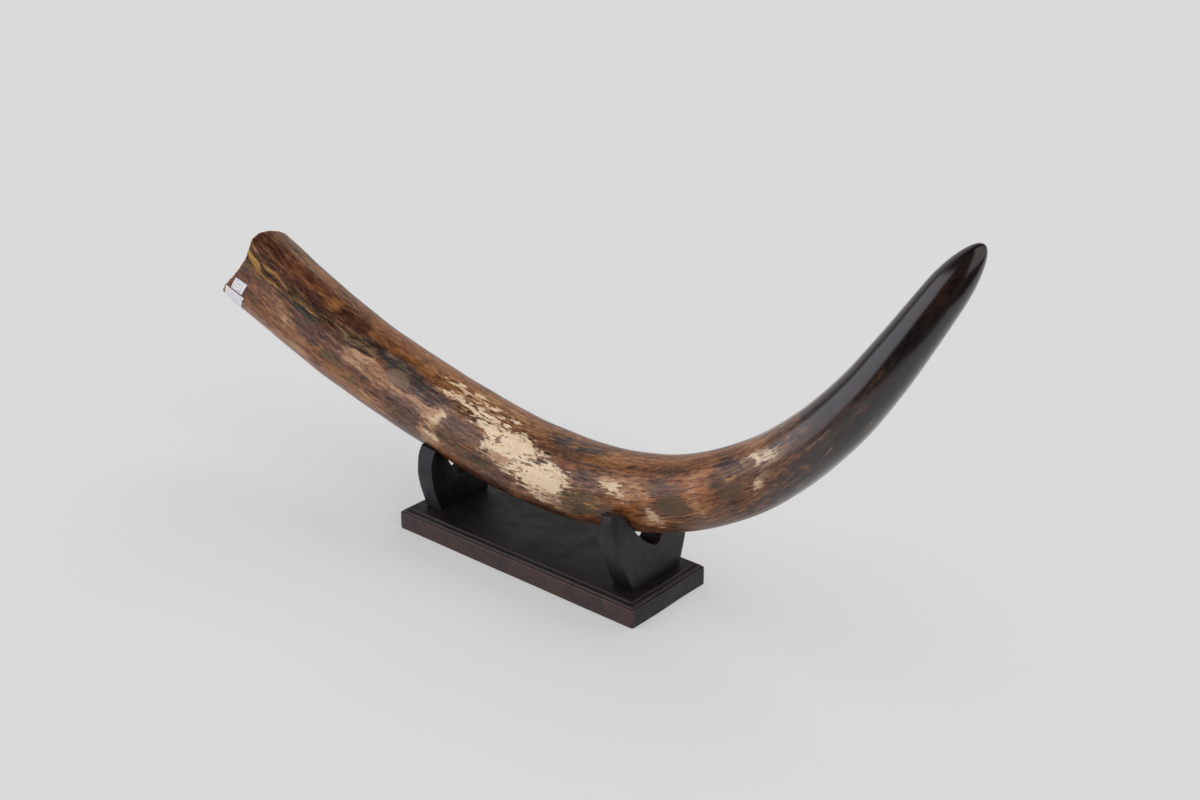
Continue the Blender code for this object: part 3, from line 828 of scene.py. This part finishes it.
def rounded_rectangle(half_length, half_width, corner):
    """A closed loop of points, with each side parted evenly and each corner an arc."""
    quarters = ((1, 1), (-1, 1), (-1, -1), (1, -1))

    def on_arc(quarter, turn):
        x = quarter[0] * (half_length - corner) + corner * math.cos(turn)
        y = quarter[1] * (half_width - corner) + corner * math.sin(turn)
        return np.array((x, y))

    loop = []
    for i, quarter in enumerate(quarters):
        for turn in np.radians(np.linspace(0, 90, 7) + 90 * i):
            loop.append(on_arc(quarter, turn))
        following = quarters[(i + 1) % 4]
        start, end = loop[-1], on_arc(following, math.radians(90 * (i + 1)))
        parts = LONG_SIDE_PARTS if quarter[1] == following[1] else SHORT_SIDE_PARTS
        for t in np.linspace(0, 1, parts + 1)[1:-1]:
            loop.append(start + (end - start) * t)
    return np.array(loop)


# Faces narrower than this belong to an edge or a groove.
NARROW = 0.0009


def mark_edge_wear_and_groove_shade(piece, full_angle_deg):
    """Stores how sharply the surface turns: above 0 on edges, where the stain wears off, and
    below 0 in grooves, which are darkened as painted shade. Only narrow faces carry it."""
    mesh = piece.data
    editing = bmesh.new()
    editing.from_mesh(mesh)
    turns = np.zeros(len(editing.verts))
    for edge in editing.edges:
        angle = edge.calc_face_angle_signed(0.0) / math.radians(full_angle_deg)
        for vertex in edge.verts:
            if abs(angle) > abs(turns[vertex.index]):
                turns[vertex.index] = angle
    values = []
    for face in editing.faces:
        narrow = 2 * face.calc_area() < NARROW * face.calc_perimeter()
        values += [turns[loop.vert.index] if narrow else 0.0 for loop in face.loops]
    editing.free()
    edge_wear_and_groove_shade = mesh.attributes.new("edge_wear_and_groove_shade", "FLOAT", "CORNER")
    edge_wear_and_groove_shade.data.foreach_set("value", np.clip(values, -1, 1).astype(np.float32))


def make_wood(name, grain_factors, redness, black, sheen, painted_side_light):
    """Ebonised hardwood. The factors draw its grain out; redness is how much red the long sides
    are tinted, and the last argument how much lighter grey is painted, as painted light, on faces turned
    towards ±Y."""
    material, tree, shader = new_material(name)
    place = put(tree, "ShaderNodeTexCoord").outputs["Object"]
    grain = noise(tree, stretched(tree, place, grain_factors), 260.0, 5.0, 0.6, 0.5)
    patches = noise(tree, place, 42.0, 5.0, 0.6, 0.8)
    pores = noise(tree, stretched(tree, place, grain_factors, (2, 3, 4)), 900.0, 2.0, 0.5)

    def patchy(mask, start, end, least):
        """The mask, whole on the patches and down to the least between them."""
        return times(tree, mask, ramp(tree, patches, start, end, least, 1.0))

    # The long sides are tinted redder than the ends and the top.
    across = calc(tree, "ABSOLUTE", parted(tree, place)[1])
    side = ramp(tree, across, half_width - 0.0030, half_width - 0.0012, 0.03, redness)
    colour = mix(tree, patchy(side, 0.30, 0.60, 0.4), black, shade(72, 50, 47))
    colour = mix(tree, ramp(tree, grain, 0.42, 0.68, 0.0, 0.14), colour, shade(66, 54, 54))
    colour = mix(tree, ramp(tree, pores, 0.40, 0.30, 0.0, 0.7), colour, shade(10, 8, 9))
    # Painted light: faces turned towards ±Y are painted a lighter grey in patches, standing in for the
    # light they catch.
    normal = put(tree, "ShaderNodeNewGeometry").outputs["Normal"]
    outward = calc(tree, "ABSOLUTE", parted(tree, normal)[1])
    painted_side_light_mask = patchy(ramp(tree, outward, 0.6, 0.9, 0.0, painted_side_light), 0.35, 0.55, 0.55)
    colour = mix(tree, painted_side_light_mask, colour, shade(60, 59, 64))
    edge_wear_and_groove_shade = attribute(tree, "edge_wear_and_groove_shade", "Fac")
    rubbed = patchy(ramp(tree, edge_wear_and_groove_shade, 0.0, 1.0), 0.32, 0.56, 0.3)
    colour = mix(tree, times(tree, rubbed, 0.55), colour, shade(92, 74, 71))
    # Painted shade: grooves are darkened almost to black.
    colour = mix(tree, ramp(tree, edge_wear_and_groove_shade, 0.0, -0.6, 0.0, 0.9), colour, shade(9, 8, 9))
    tree.links.new(colour, shader.inputs["Base Color"])
    tree.links.new(ramp(tree, patches, 0.3, 0.7, 0.40, 0.58), shader.inputs["Roughness"])
    shader.inputs["IOR"].default_value = 1.42
    shader.inputs["Specular IOR Level"].default_value = sheen
    roughen(tree, shader, calc(tree, "MULTIPLY_ADD", pores, 0.5, grain), 0.35, 0.0003)
    return material


# The stain's black and its sheen, as it came out on the board and the near upright.
DEEP_STAIN = (shade(21, 19, 23), 0.5)
half_length, half_width = (board_high.x - board_low.x) / 2, (board_high.y - board_low.y) / 2
board_loops = []
for inset_mm, height_mm in BOARD_SECTION:
    inset = inset_mm / 1000
    corner = max(BOARD_CORNER - inset * 0.3, 0.0008)
    flat = rounded_rectangle(half_length - inset, half_width - inset, corner)
    # Hand planing leaves the sides a hair out of true.
    waver = 0.00012 * np.sin(flat[:, 0] * 47 + height_mm) + 0.00010 * np.sin(flat[:, 1] * 83 - height_mm)
    shrink = 1 - np.abs(waver) / half_width
    rows = np.column_stack([flat * shrink[:, None], np.full(len(flat), height_mm / 1000)])
    board_loops.append((rows, None))
board_mesh = loft("stand_board", board_loops, caps=((0, True), (len(board_loops) - 1, False)))
board = add_object("stand_board", board_mesh)
mark_edge_wear_and_groove_shade(board, 40)
board_mesh.shade_smooth()
board_mesh.set_sharp_from_angle(angle=math.radians(35))
board_mesh.materials.append(make_wood("ebonised_board", (0.12, 1, 1), 0.95, *DEEP_STAIN, 0.0))
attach(board, "root")
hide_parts("stand_base")


# ---------------------------------------------------------------------------------------------
# The two uprights. Lyre-shaped boards of the same wood, sawn with their grain upright and glued
# to the board's top, each with a round-bottomed V that was pared with a knife until the tusk
# sat in it. Knife facets are left on the horns.

GAP = 0.0003
UPRIGHT_THICKNESS = 0.0204
UPRIGHT_EASED_EDGE = 0.0011
UPRIGHT_CUT_EDGE = 0.0004
board_top = board_high.z
# Half widths at the foot and at the widest are given for the -Y and the +Y side. The notch is a
# line of (Y, height) from one horn's inner corner, down round its floor, to the other's. Finish:
# the stain's black, its sheen, and how much lighter grey is painted on the faces turned towards
# ±Y, as painted light. Each facet: front or back face, depth below the top, lean, twist and
# depth of cut.
UPRIGHTS = {
    "saddle_far": {
        "foot": (0.0300, 0.0340),
        "widest": (0.0420, 0.0430),
        "widest_at": 0.068,
        "horn_half_width": 0.0340,
        "horn_top": 0.0895,
        "top_slope_deg": -3,
        "foot_spread": 0.0,
        # Painted shade from the tusk above: a blacker stain and less sheen. Painted light: lighter grey
        # on the faces towards ±Y.
        "finish": (shade(13, 12, 15), 0.22, 0.75),
        "notch": (
            (-0.0286, 0.0910), (-0.0125, 0.0632), (-0.0072, 0.0542), (0.0, 0.0518),
            (0.0070, 0.0540), (0.0120, 0.0606), (0.0318, 0.0910),
        ),
        "facets": ((-1, 0.020, 86, 48, 0.0010),),
    },
    "saddle_near": {
        "foot": (0.0290, 0.0355),
        "widest": (0.0533, 0.0540),
        "widest_at": 0.092,
        "horn_half_width": 0.0515,
        "horn_top": 0.1012,
        "top_slope_deg": 15,
        "foot_spread": 0.0035,
        "finish": (*DEEP_STAIN, 0.0),
        "notch": (
            (-0.0455, 0.1055), (-0.0215, 0.0733), (-0.0111, 0.0634), (-0.0013, 0.0568),
            (0.0048, 0.0550), (0.0084, 0.0578), (0.0110, 0.0632), (0.0455, 0.1055),
        ),
        "facets": ((1, 0.006, 74, 47, 0.0018), (1, 0.030, 84, 47, 0.0010), (-1, 0.020, 80, 40, 0.0012)),
    },
}


def outer_edge(sizes, side):
    """One outer edge of the outline, from the foot up to the horn's tip, on that side."""
    wide, foot_width = sizes["widest"][side > 0], sizes["foot"][side > 0]
    high, horn = sizes["widest_at"], sizes["horn_half_width"]
    slope = abs(math.tan(math.radians(sizes["top_slope_deg"])))
    top = sizes["horn_top"] + UPRIGHT_THICKNESS / 2 * slope + 0.001
    foot_height = board_top - 0.004
    rise = high - foot_height
    foot = Vector((foot_width, foot_height, 0))
    widest = Vector((wide, high, 0))
    lower = interpolate_bezier(
        foot,
        foot + Vector((0.38 * (wide - foot_width), 0.27 * rise, 0)),
        Vector((wide, foot_height + 0.62 * rise, 0)),
        widest,
        30,
    )
    upper = interpolate_bezier(
        widest,
        Vector((wide, high + 0.4 * (top - high), 0)),
        Vector((wide - 0.4 * (wide - horn), high + 0.75 * (top - high), 0)),
        Vector((horn, top, 0)),
        16,
    )
    return [Vector((side * point.x, point.y, 0)) for point in (*lower, *upper[1:])]


def softened_line(points, rounds):
    """Cuts the corners off a line again and again, as a rasp rounds a notch; its ends stay."""
    line = [Vector((*point, 0)) for point in points]
    for _ in range(rounds):
        cut = [line[0]]
        for a, b in zip(line, line[1:]):
            cut += [a.lerp(b, 0.25), a.lerp(b, 0.75)]
        line = cut + [line[-1]]
    return line


def upright_outline(sizes):
    """The closed outline: up the +Y side, through the notch, and down the -Y side."""
    notch = softened_line(sizes["notch"], 3)
    return [*outer_edge(sizes, 1), *reversed(notch), *reversed(outer_edge(sizes, -1))]


def evaluated_mesh(piece):
    """A plain mesh of the piece as its modifiers, or its curve, make it."""
    graph = bpy.context.evaluated_depsgraph_get()
    return bpy.data.meshes.new_from_object(piece.evaluated_get(graph))


def carve(piece, cutter):
    modifier = piece.modifiers.new(cutter.name, "BOOLEAN")
    modifier.operation = "DIFFERENCE"
    modifier.solver = "EXACT"
    modifier.object = cutter


def join_flat_faces(editing):
    bmesh.ops.dissolve_limit(editing, angle_limit=0.001, verts=editing.verts, edges=editing.edges)


def settle(piece):
    """Applies every modifier, and leaves a plain mesh without slivers."""
    mesh = evaluated_mesh(piece)
    with edited(mesh) as editing:
        bmesh.ops.remove_doubles(editing, verts=editing.verts, dist=2e-6)
        bmesh.ops.dissolve_degenerate(editing, edges=editing.edges, dist=2e-6)
        join_flat_faces(editing)
    piece.modifiers.clear()
    piece.data = mesh


def flat_cutter(name, surface, side):
    """A large block whose one face lies on the surface's own XY plane."""
    reach = 0.2
    mesh = bpy.data.meshes.new(name)
    with edited(mesh) as editing:
        bmesh.ops.create_cube(editing, size=reach)
    cutter = add_object(name, mesh)
    cutter.matrix_world = surface @ Matrix.Translation((0, 0, side * reach / 2))
    return cutter


def knife_facets(sizes, middle):
    """The faces that a knife left where it shaved the horns' outer corners."""
    top = sizes["horn_top"]
    for side in (-1, 1):
        wide = sizes["widest"][side > 0]
        for face, drop, lean, twist, bite in sizes["facets"]:
            corner = Vector((middle + face * UPRIGHT_THICKNESS / 2, side * wide, top - drop))
            level = math.sin(math.radians(lean))
            out = Vector(
                (
                    face * math.sin(math.radians(twist)) * level,
                    side * math.cos(math.radians(twist)) * level,
                    math.cos(math.radians(lean)),
                )
            )
            turn = Vector((0, 0, 1)).rotation_difference(out).to_matrix().to_4x4()
            yield Matrix.Translation(corner - out * bite) @ turn


def round_edges(piece, width, segments, least_turn_deg):
    bevel = piece.modifiers.new("rounded_edges", "BEVEL")
    bevel.width = width
    bevel.segments = segments
    bevel.limit_method = "ANGLE"
    bevel.angle_limit = math.radians(least_turn_deg)


def make_upright(name, sizes, clearance, wood):
    low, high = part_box(name)
    middle = (low.x + high.x) / 2
    outline = upright_outline(sizes)
    curve = bpy.data.curves.new(name + "_form", "CURVE")
    curve.dimensions = "2D"
    curve.fill_mode = "BOTH"
    curve.extrude = UPRIGHT_THICKNESS / 2
    spline = curve.splines.new("POLY")
    spline.points.add(len(outline) - 1)
    for control, point in zip(spline.points, outline):
        control.co = (*point, 1)
    spline.use_cyclic_u = True
    flat = add_object(name + "_form", curve)
    bpy.context.view_layer.update()
    mesh = evaluated_mesh(flat)
    with edited(mesh) as editing:
        bmesh.ops.remove_doubles(editing, verts=editing.verts, dist=1e-6)
        join_flat_faces(editing)
        bmesh.ops.recalc_face_normals(editing, faces=editing.faces)
    bpy.data.objects.remove(flat)
    # The outline's own X and Y become the row's Y and Z.
    stand_up = Matrix.Rotation(math.pi / 2, 4, "Z") @ Matrix.Rotation(math.pi / 2, 4, "X")
    mesh.transform(Matrix.Translation((middle, 0, 0)) @ stand_up)
    upright = add_object(name.replace("saddle", "upright"), mesh)

    round_edges(upright, UPRIGHT_EASED_EDGE, 3, 50)
    cutters = [clearance]
    tilt = Matrix.Rotation(math.radians(-sizes["top_slope_deg"]), 4, "Y")
    top_face = Matrix.Translation((middle, 0, sizes["horn_top"])) @ tilt
    cutters.append(flat_cutter("horn_cut", top_face, 1))
    cutters.append(flat_cutter("foot_cut", Matrix.Translation((middle, 0, board_top + GAP)), -1))
    for plane in knife_facets(sizes, middle):
        cutters.append(flat_cutter("facet", plane, 1))
    for cutter in cutters:
        carve(upright, cutter)
    settle(upright)
    round_edges(upright, UPRIGHT_CUT_EDGE, 2, 20)
    settle(upright)
    # The near one's front face leans out towards its foot.
    for vertex in upright.data.vertices:
        if vertex.co.x > middle:
            drop = (sizes["horn_top"] - vertex.co.z) / (sizes["horn_top"] - board_top)
            widening = sizes["foot_spread"] * min(max(drop, 0.0), 1.0)
            vertex.co.x += widening * (vertex.co.x - middle) / (UPRIGHT_THICKNESS / 2)
    for cutter in cutters[1:]:
        bpy.data.objects.remove(cutter)
    mark_edge_wear_and_groove_shade(upright, 35)
    upright.data.shade_smooth()
    upright.data.set_sharp_from_angle(angle=math.radians(16))
    upright.data.materials.clear()
    upright.data.materials.append(wood)
    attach(upright, "root")
    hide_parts(name)
    return upright


# The tusk's own form, a hair larger, is what the notches are pared to.
CLEARANCE_SPAN = (0.2, 0.62)
CLEARANCE_SIDES = 160
CLEARANCE_RINGS = 160
around = all_round(CLEARANCE_SIDES)
clearance_loops = []
for distance in np.linspace(*CLEARANCE_SPAN, CLEARANCE_RINGS):
    radius = tusk_radius(distance) * (1 + swell(distance, around)) + GAP / 2
    clearance_loops.append((off_axis(np.full(CLEARANCE_SIDES, distance), around, radius)[0], None))
clearance_caps = ((0, True), (CLEARANCE_RINGS - 1, False))
clearance = add_object("tusk_clearance", loft("tusk_clearance", clearance_loops, clearance_caps))
for upright_name, upright_sizes in UPRIGHTS.items():
    wood_name = upright_name.replace("saddle", "ebonised_upright")
    upright_wood = make_wood(wood_name, (1, 1, 0.12), 0.07, *upright_sizes["finish"])
    make_upright(upright_name, upright_sizes, clearance, upright_wood)
bpy.data.objects.remove(clearance)


# ---------------------------------------------------------------------------------------------
# Two small paper stickers, stuck on the root end and left blank but for plain printed dashes.
# The larger is torn along one end and follows the tusk round underneath.

# Corners of each sticker, as (distance along the axis in millimetres, angle round it), its rows
# of print, and how much its end is torn.
LABELS = {
    "label_small": (((14.0, 6.5), (29.0, 9.0), (28.2, -10.0), (13.6, -12.0)), 4, 0.0),
    "label_large": (((7.6, -15.0), (31.2, -12.6), (30.0, -47.5), (7.0, -48.0)), 9, 1.0),
}
PAPER_COLUMNS = 26
PAPER_ROWS = 30
PAPER_THICKNESS = 0.00022
GUM_THICKNESS = 0.00012
EDGE_LIFT = 0.0004


def make_paper():
    material, tree, shader = new_material("sticker_paper")
    place = attribute(tree, "sheet")
    across, down, printed_rows = parted(tree, place)
    fibre = noise(tree, place, 300.0, 3.0)
    paper = mix(tree, ramp(tree, fibre, 0.3, 0.7), shade(236, 235, 242), shade(248, 248, 252))

    def from_middle(value):
        return calc(tree, "ABSOLUTE", calc(tree, "SUBTRACT", value, 0.5))

    # Rows of short dashes, like the print of a plain form seen from too far to read.
    row = calc(tree, "FRACT", times(tree, down, printed_rows))
    dashes = noise(tree, stretched(tree, place, (5.0, 1.0, 0.0)), 5.0, 1.0)
    ink = times(tree, ramp(tree, from_middle(row), 0.22, 0.12), ramp(tree, dashes, 0.50, 0.56))
    ink = times(tree, ink, ramp(tree, from_middle(across), 0.46, 0.40))
    # The small sticker's print is stronger than the large one's.
    strength = ramp(tree, printed_rows, 4.5, 8.0, 0.85, 0.5)
    colour = mix(tree, times(tree, ink, strength), paper, shade(92, 88, 104))
    tree.links.new(colour, shader.inputs["Base Color"])
    shader.inputs["Roughness"].default_value = 0.6
    return material


paper = make_paper()
for label_name, (corners, printed_rows, tear) in LABELS.items():
    u, v = np.meshgrid(np.linspace(0, 1, PAPER_COLUMNS), np.linspace(0, 1, PAPER_ROWS))
    top_start, top_end, low_end, low_start = (np.array(corner) for corner in corners)
    top_edge = top_start + (top_end - top_start) * u[..., None]
    low_edge = low_start + (low_end - low_start) * u[..., None]
    spot = top_edge + (low_edge - top_edge) * v[..., None]
    torn = 0.9 * np.sin(v * 21) + 0.6 * np.sin(v * 47 + 1)
    spot[..., 0] += tear * np.clip(u - 0.85, 0, 1) / 0.15 * torn
    distance, angle = spot[..., 0].ravel() / 1000, np.radians(spot[..., 1].ravel())
    skin = tusk_radius(distance) * (1 + swell(distance, angle))
    # Corners and edges lift a little where the gum has dried.
    from_middle = np.maximum(np.abs(u - 0.5), np.abs(v - 0.5)) * 2
    lift = EDGE_LIFT * np.clip(from_middle - 0.8, 0, 1) / 0.2
    surface, out = off_axis(distance, angle, skin + GUM_THICKNESS + lift.ravel())
    mesh = bpy.data.meshes.new(label_name + "_paper")
    quads = []
    for r in range(PAPER_ROWS - 1):
        for q in range(PAPER_COLUMNS - 1):
            first = r * PAPER_COLUMNS + q
            below = first + PAPER_COLUMNS
            quads.append((first, first + 1, below + 1, below))
    mesh.from_pydata(surface.tolist(), [], quads)
    sheet = mesh.attributes.new("sheet", "FLOAT_VECTOR", "POINT")
    facts = np.stack([u.ravel(), v.ravel(), np.full(u.size, printed_rows)], axis=-1)
    sheet.data.foreach_set("vector", facts.astype(np.float32).ravel())
    label = add_object(label_name + "_paper", mesh)
    if mesh.polygons[0].normal.dot(Vector(out[0])) < 0:
        mesh.flip_normals()
    shell = label.modifiers.new("thickness", "SOLIDIFY")
    shell.thickness = PAPER_THICKNESS
    shell.offset = 1
    settle(label)
    label.data.shade_smooth()
    label.data.set_sharp_from_angle(angle=math.radians(40))
    label.data.materials.append(paper)
    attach(label, "root")
    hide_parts(label_name)


# ---------------------------------------------------------------------------------------------
# The table, the light and the camera. A pale seamless table in a bright room; the polish mirrors
# a softbox low on the left, a tall diffuser on the right, the pale walls behind, and dark cloth
# and screens behind the camera.

TABLE_RADIUS = 7.0
floor_mesh = bpy.data.meshes.new("table")
with edited(floor_mesh) as editing:
    bmesh.ops.create_circle(editing, cap_ends=True, segments=96, radius=TABLE_RADIUS)
floor = add_object("table", floor_mesh)
floor_material, _, floor_shader = new_material("pale_table")
floor_shader.inputs["Base Color"].default_value = (0.76, 0.76, 0.765, 1)
floor_shader.inputs["Roughness"].default_value = 0.9
floor_shader.inputs["Specular IOR Level"].default_value = 0.2
# Lit from below as well, so shadows on it stay faint.
floor_shader.inputs["Emission Color"].default_value = (1, 0.997, 1, 1)
floor_shader.inputs["Emission Strength"].default_value = 0.272
floor_mesh.materials.append(floor_material)

world = bpy.data.worlds.new("room")
bpy.context.scene.world = world
world.use_nodes = True
background = world.node_tree.nodes["Background"]
background.inputs["Color"].default_value = (0.985, 0.99, 1.0, 1)
background.inputs["Strength"].default_value = 0.33
world.cycles_visibility.glossy = False


def direction(azimuth_deg, elevation_deg):
    """A unit vector; azimuth 0 is towards -Y and turns towards +X."""
    azimuth, elevation = math.radians(azimuth_deg), math.radians(elevation_deg)
    level = math.cos(elevation)
    return Vector((level * math.sin(azimuth), -level * math.cos(azimuth), math.sin(elevation)))


def aim(added, heading):
    added.rotation_euler = heading.to_track_quat("-Z", "Y").to_euler()


def softbox(name, target, towards, distance, width, height, radiance):
    light = bpy.data.lights.new(name, "AREA")
    light.shape = "RECTANGLE"
    light.size = width
    light.size_y = height
    light.energy = radiance * math.pi * width * height
    lamp = add_object(name, light)
    lamp.location = Vector(target) + towards * distance
    aim(lamp, -towards)
    lamp.visible_camera = False
    return lamp


# It stands 1.3 m from the tip half, and is seen only in the polish.
TIP_HALF = (0.35, 0.01, 0.30)
mirrored = softbox("left_softbox", TIP_HALF, direction(-45, 10), 1.3, 1.35, 0.95, 1.4)
mirrored.data.color = (0.93, 0.92, 1.0)
mirrored.visible_diffuse = False


def distant_light(name, towards, energy, angle_deg):
    light = bpy.data.lights.new(name, "SUN")
    light.energy = energy
    light.angle = math.radians(angle_deg)
    lamp = add_object(name, light)
    aim(lamp, -towards)
    lamp.visible_glossy = False
    return lamp


distant_light("back_light", direction(165, 42), 0.52, 60)
distant_light("front_light", direction(-30, 55), 0.31, 70)
distant_light("right_light", direction(76, 24), 0.40, 50)

# The overhead diffuser lights the object but is flagged off the table.
key_lamp = distant_light("key_light", direction(-20, 58), 1.30, 100)
pieces = bpy.data.collections.new("lit_pieces")
for piece in bpy.data.objects:
    if piece.type == "MESH" and piece != floor:
        pieces.objects.link(piece)
key_lamp.light_linking.receiver_collection = pieces


def mirrored_screen(name, corners, colour=(0.01, 0.01, 0.01), glow=0.0):
    """A cloth, a wall or a diffuser that only shows in the polish."""
    mesh = bpy.data.meshes.new(name)
    mesh.from_pydata(corners, [], [tuple(range(len(corners)))])
    screen = add_object(name, mesh)
    material, _, shader = new_material(name)
    shader.inputs["Base Color"].default_value = (*colour, 1)
    shader.inputs["Roughness"].default_value = 1.0
    shader.inputs["Emission Color"].default_value = (1.0, 0.965, 0.96, 1)
    shader.inputs["Emission Strength"].default_value = glow
    mesh.materials.append(material)
    screen.visible_camera = False
    screen.visible_diffuse = False
    screen.visible_shadow = False
    screen.visible_transmission = False


def standing_panel(radius, start, end, low, high):
    """Corners of a flat panel that stands on the table between two azimuths."""
    corners = ((start, low), (end, low), (end, high), (start, high))
    return [tuple(direction(azimuth, 0) * radius + Vector((0, 0, height))) for azimuth, height in corners]


# The diffuser on the right, whose slanting edge ends the tip's reflection.
edge_low, edge_high = direction(47, -8), direction(-28, 64)
far_low, far_high = direction(120, -8), direction(120, 75)
tip = Vector((0.39, 0.03, 0.36))
diffuser = [tuple(tip + edge * 1.7) for edge in (edge_low, far_low, far_high, edge_high)]
mirrored_screen("right_diffuser", diffuser, glow=0.9)

# The pale walls of the room, behind the table and round to the left: from one azimuth to
# another, and how brightly each is lit.
WALLS = (
    (-110, -92, 0.50),
    (-92, -72, 0.25),
    (100, 130, 0.45),
    (130, 160, 0.45),
    (160, 190, 0.45),
    (190, 220, 0.45),
    (220, 250, 0.50),
)
for i, (start, end, glow) in enumerate(WALLS):
    panel = standing_panel(6.4, start, end, -0.01, 9.0)
    mirrored_screen(f"wall_{i}", panel, colour=(0, 0, 0), glow=glow)

# Dark cloth covers the table in front, from a straight edge 0.69 m out from the stand's middle.
cloth_outward = Vector((0.82, -0.57, 0))
cloth_along = Vector((0.57, 0.82, 0))
cloth_edge = cloth_outward * 0.69 + Vector((0, 0, 0.002))
cloth_corners = ((-3, 0), (3, 0), (3, 2.6), (-3, 2.6))
cloth = [tuple(cloth_edge + cloth_along * s + cloth_outward * t) for s, t in cloth_corners]
mirrored_screen("dark_floor", cloth)

# Dark screens stand round behind the camera, each from one azimuth to another.
DARK_SCREENS = ((-72, -50), (-50, -15), (-15, 30), (30, 66))
for i, (start, end) in enumerate(DARK_SCREENS):
    mirrored_screen(f"dark_screen_{i}", standing_panel(2.4, start, end, 0.01, 2.6))

CAMERA_PLACE = Vector((0.8645, -0.9459, 0.7055))
CAMERA_YAW = math.radians(-40.14)
CAMERA_PITCH = math.radians(22.98)
CAMERA_SENSOR_MM = 36
CAMERA_LENS_MM = 45
lens = bpy.data.cameras.new("camera")
lens.sensor_width = CAMERA_SENSOR_MM
lens.lens = CAMERA_LENS_MM
lens.clip_end = 50
camera = add_object("camera", lens)
camera.location = CAMERA_PLACE
gaze = Vector(
    (
        math.sin(CAMERA_YAW) * math.cos(CAMERA_PITCH),
        math.cos(CAMERA_YAW) * math.cos(CAMERA_PITCH),
        -math.sin(CAMERA_PITCH),
    )
)
aim(camera, gaze)
bpy.context.scene.camera = camera
bpy.context.scene.view_settings.view_transform = "Standard"
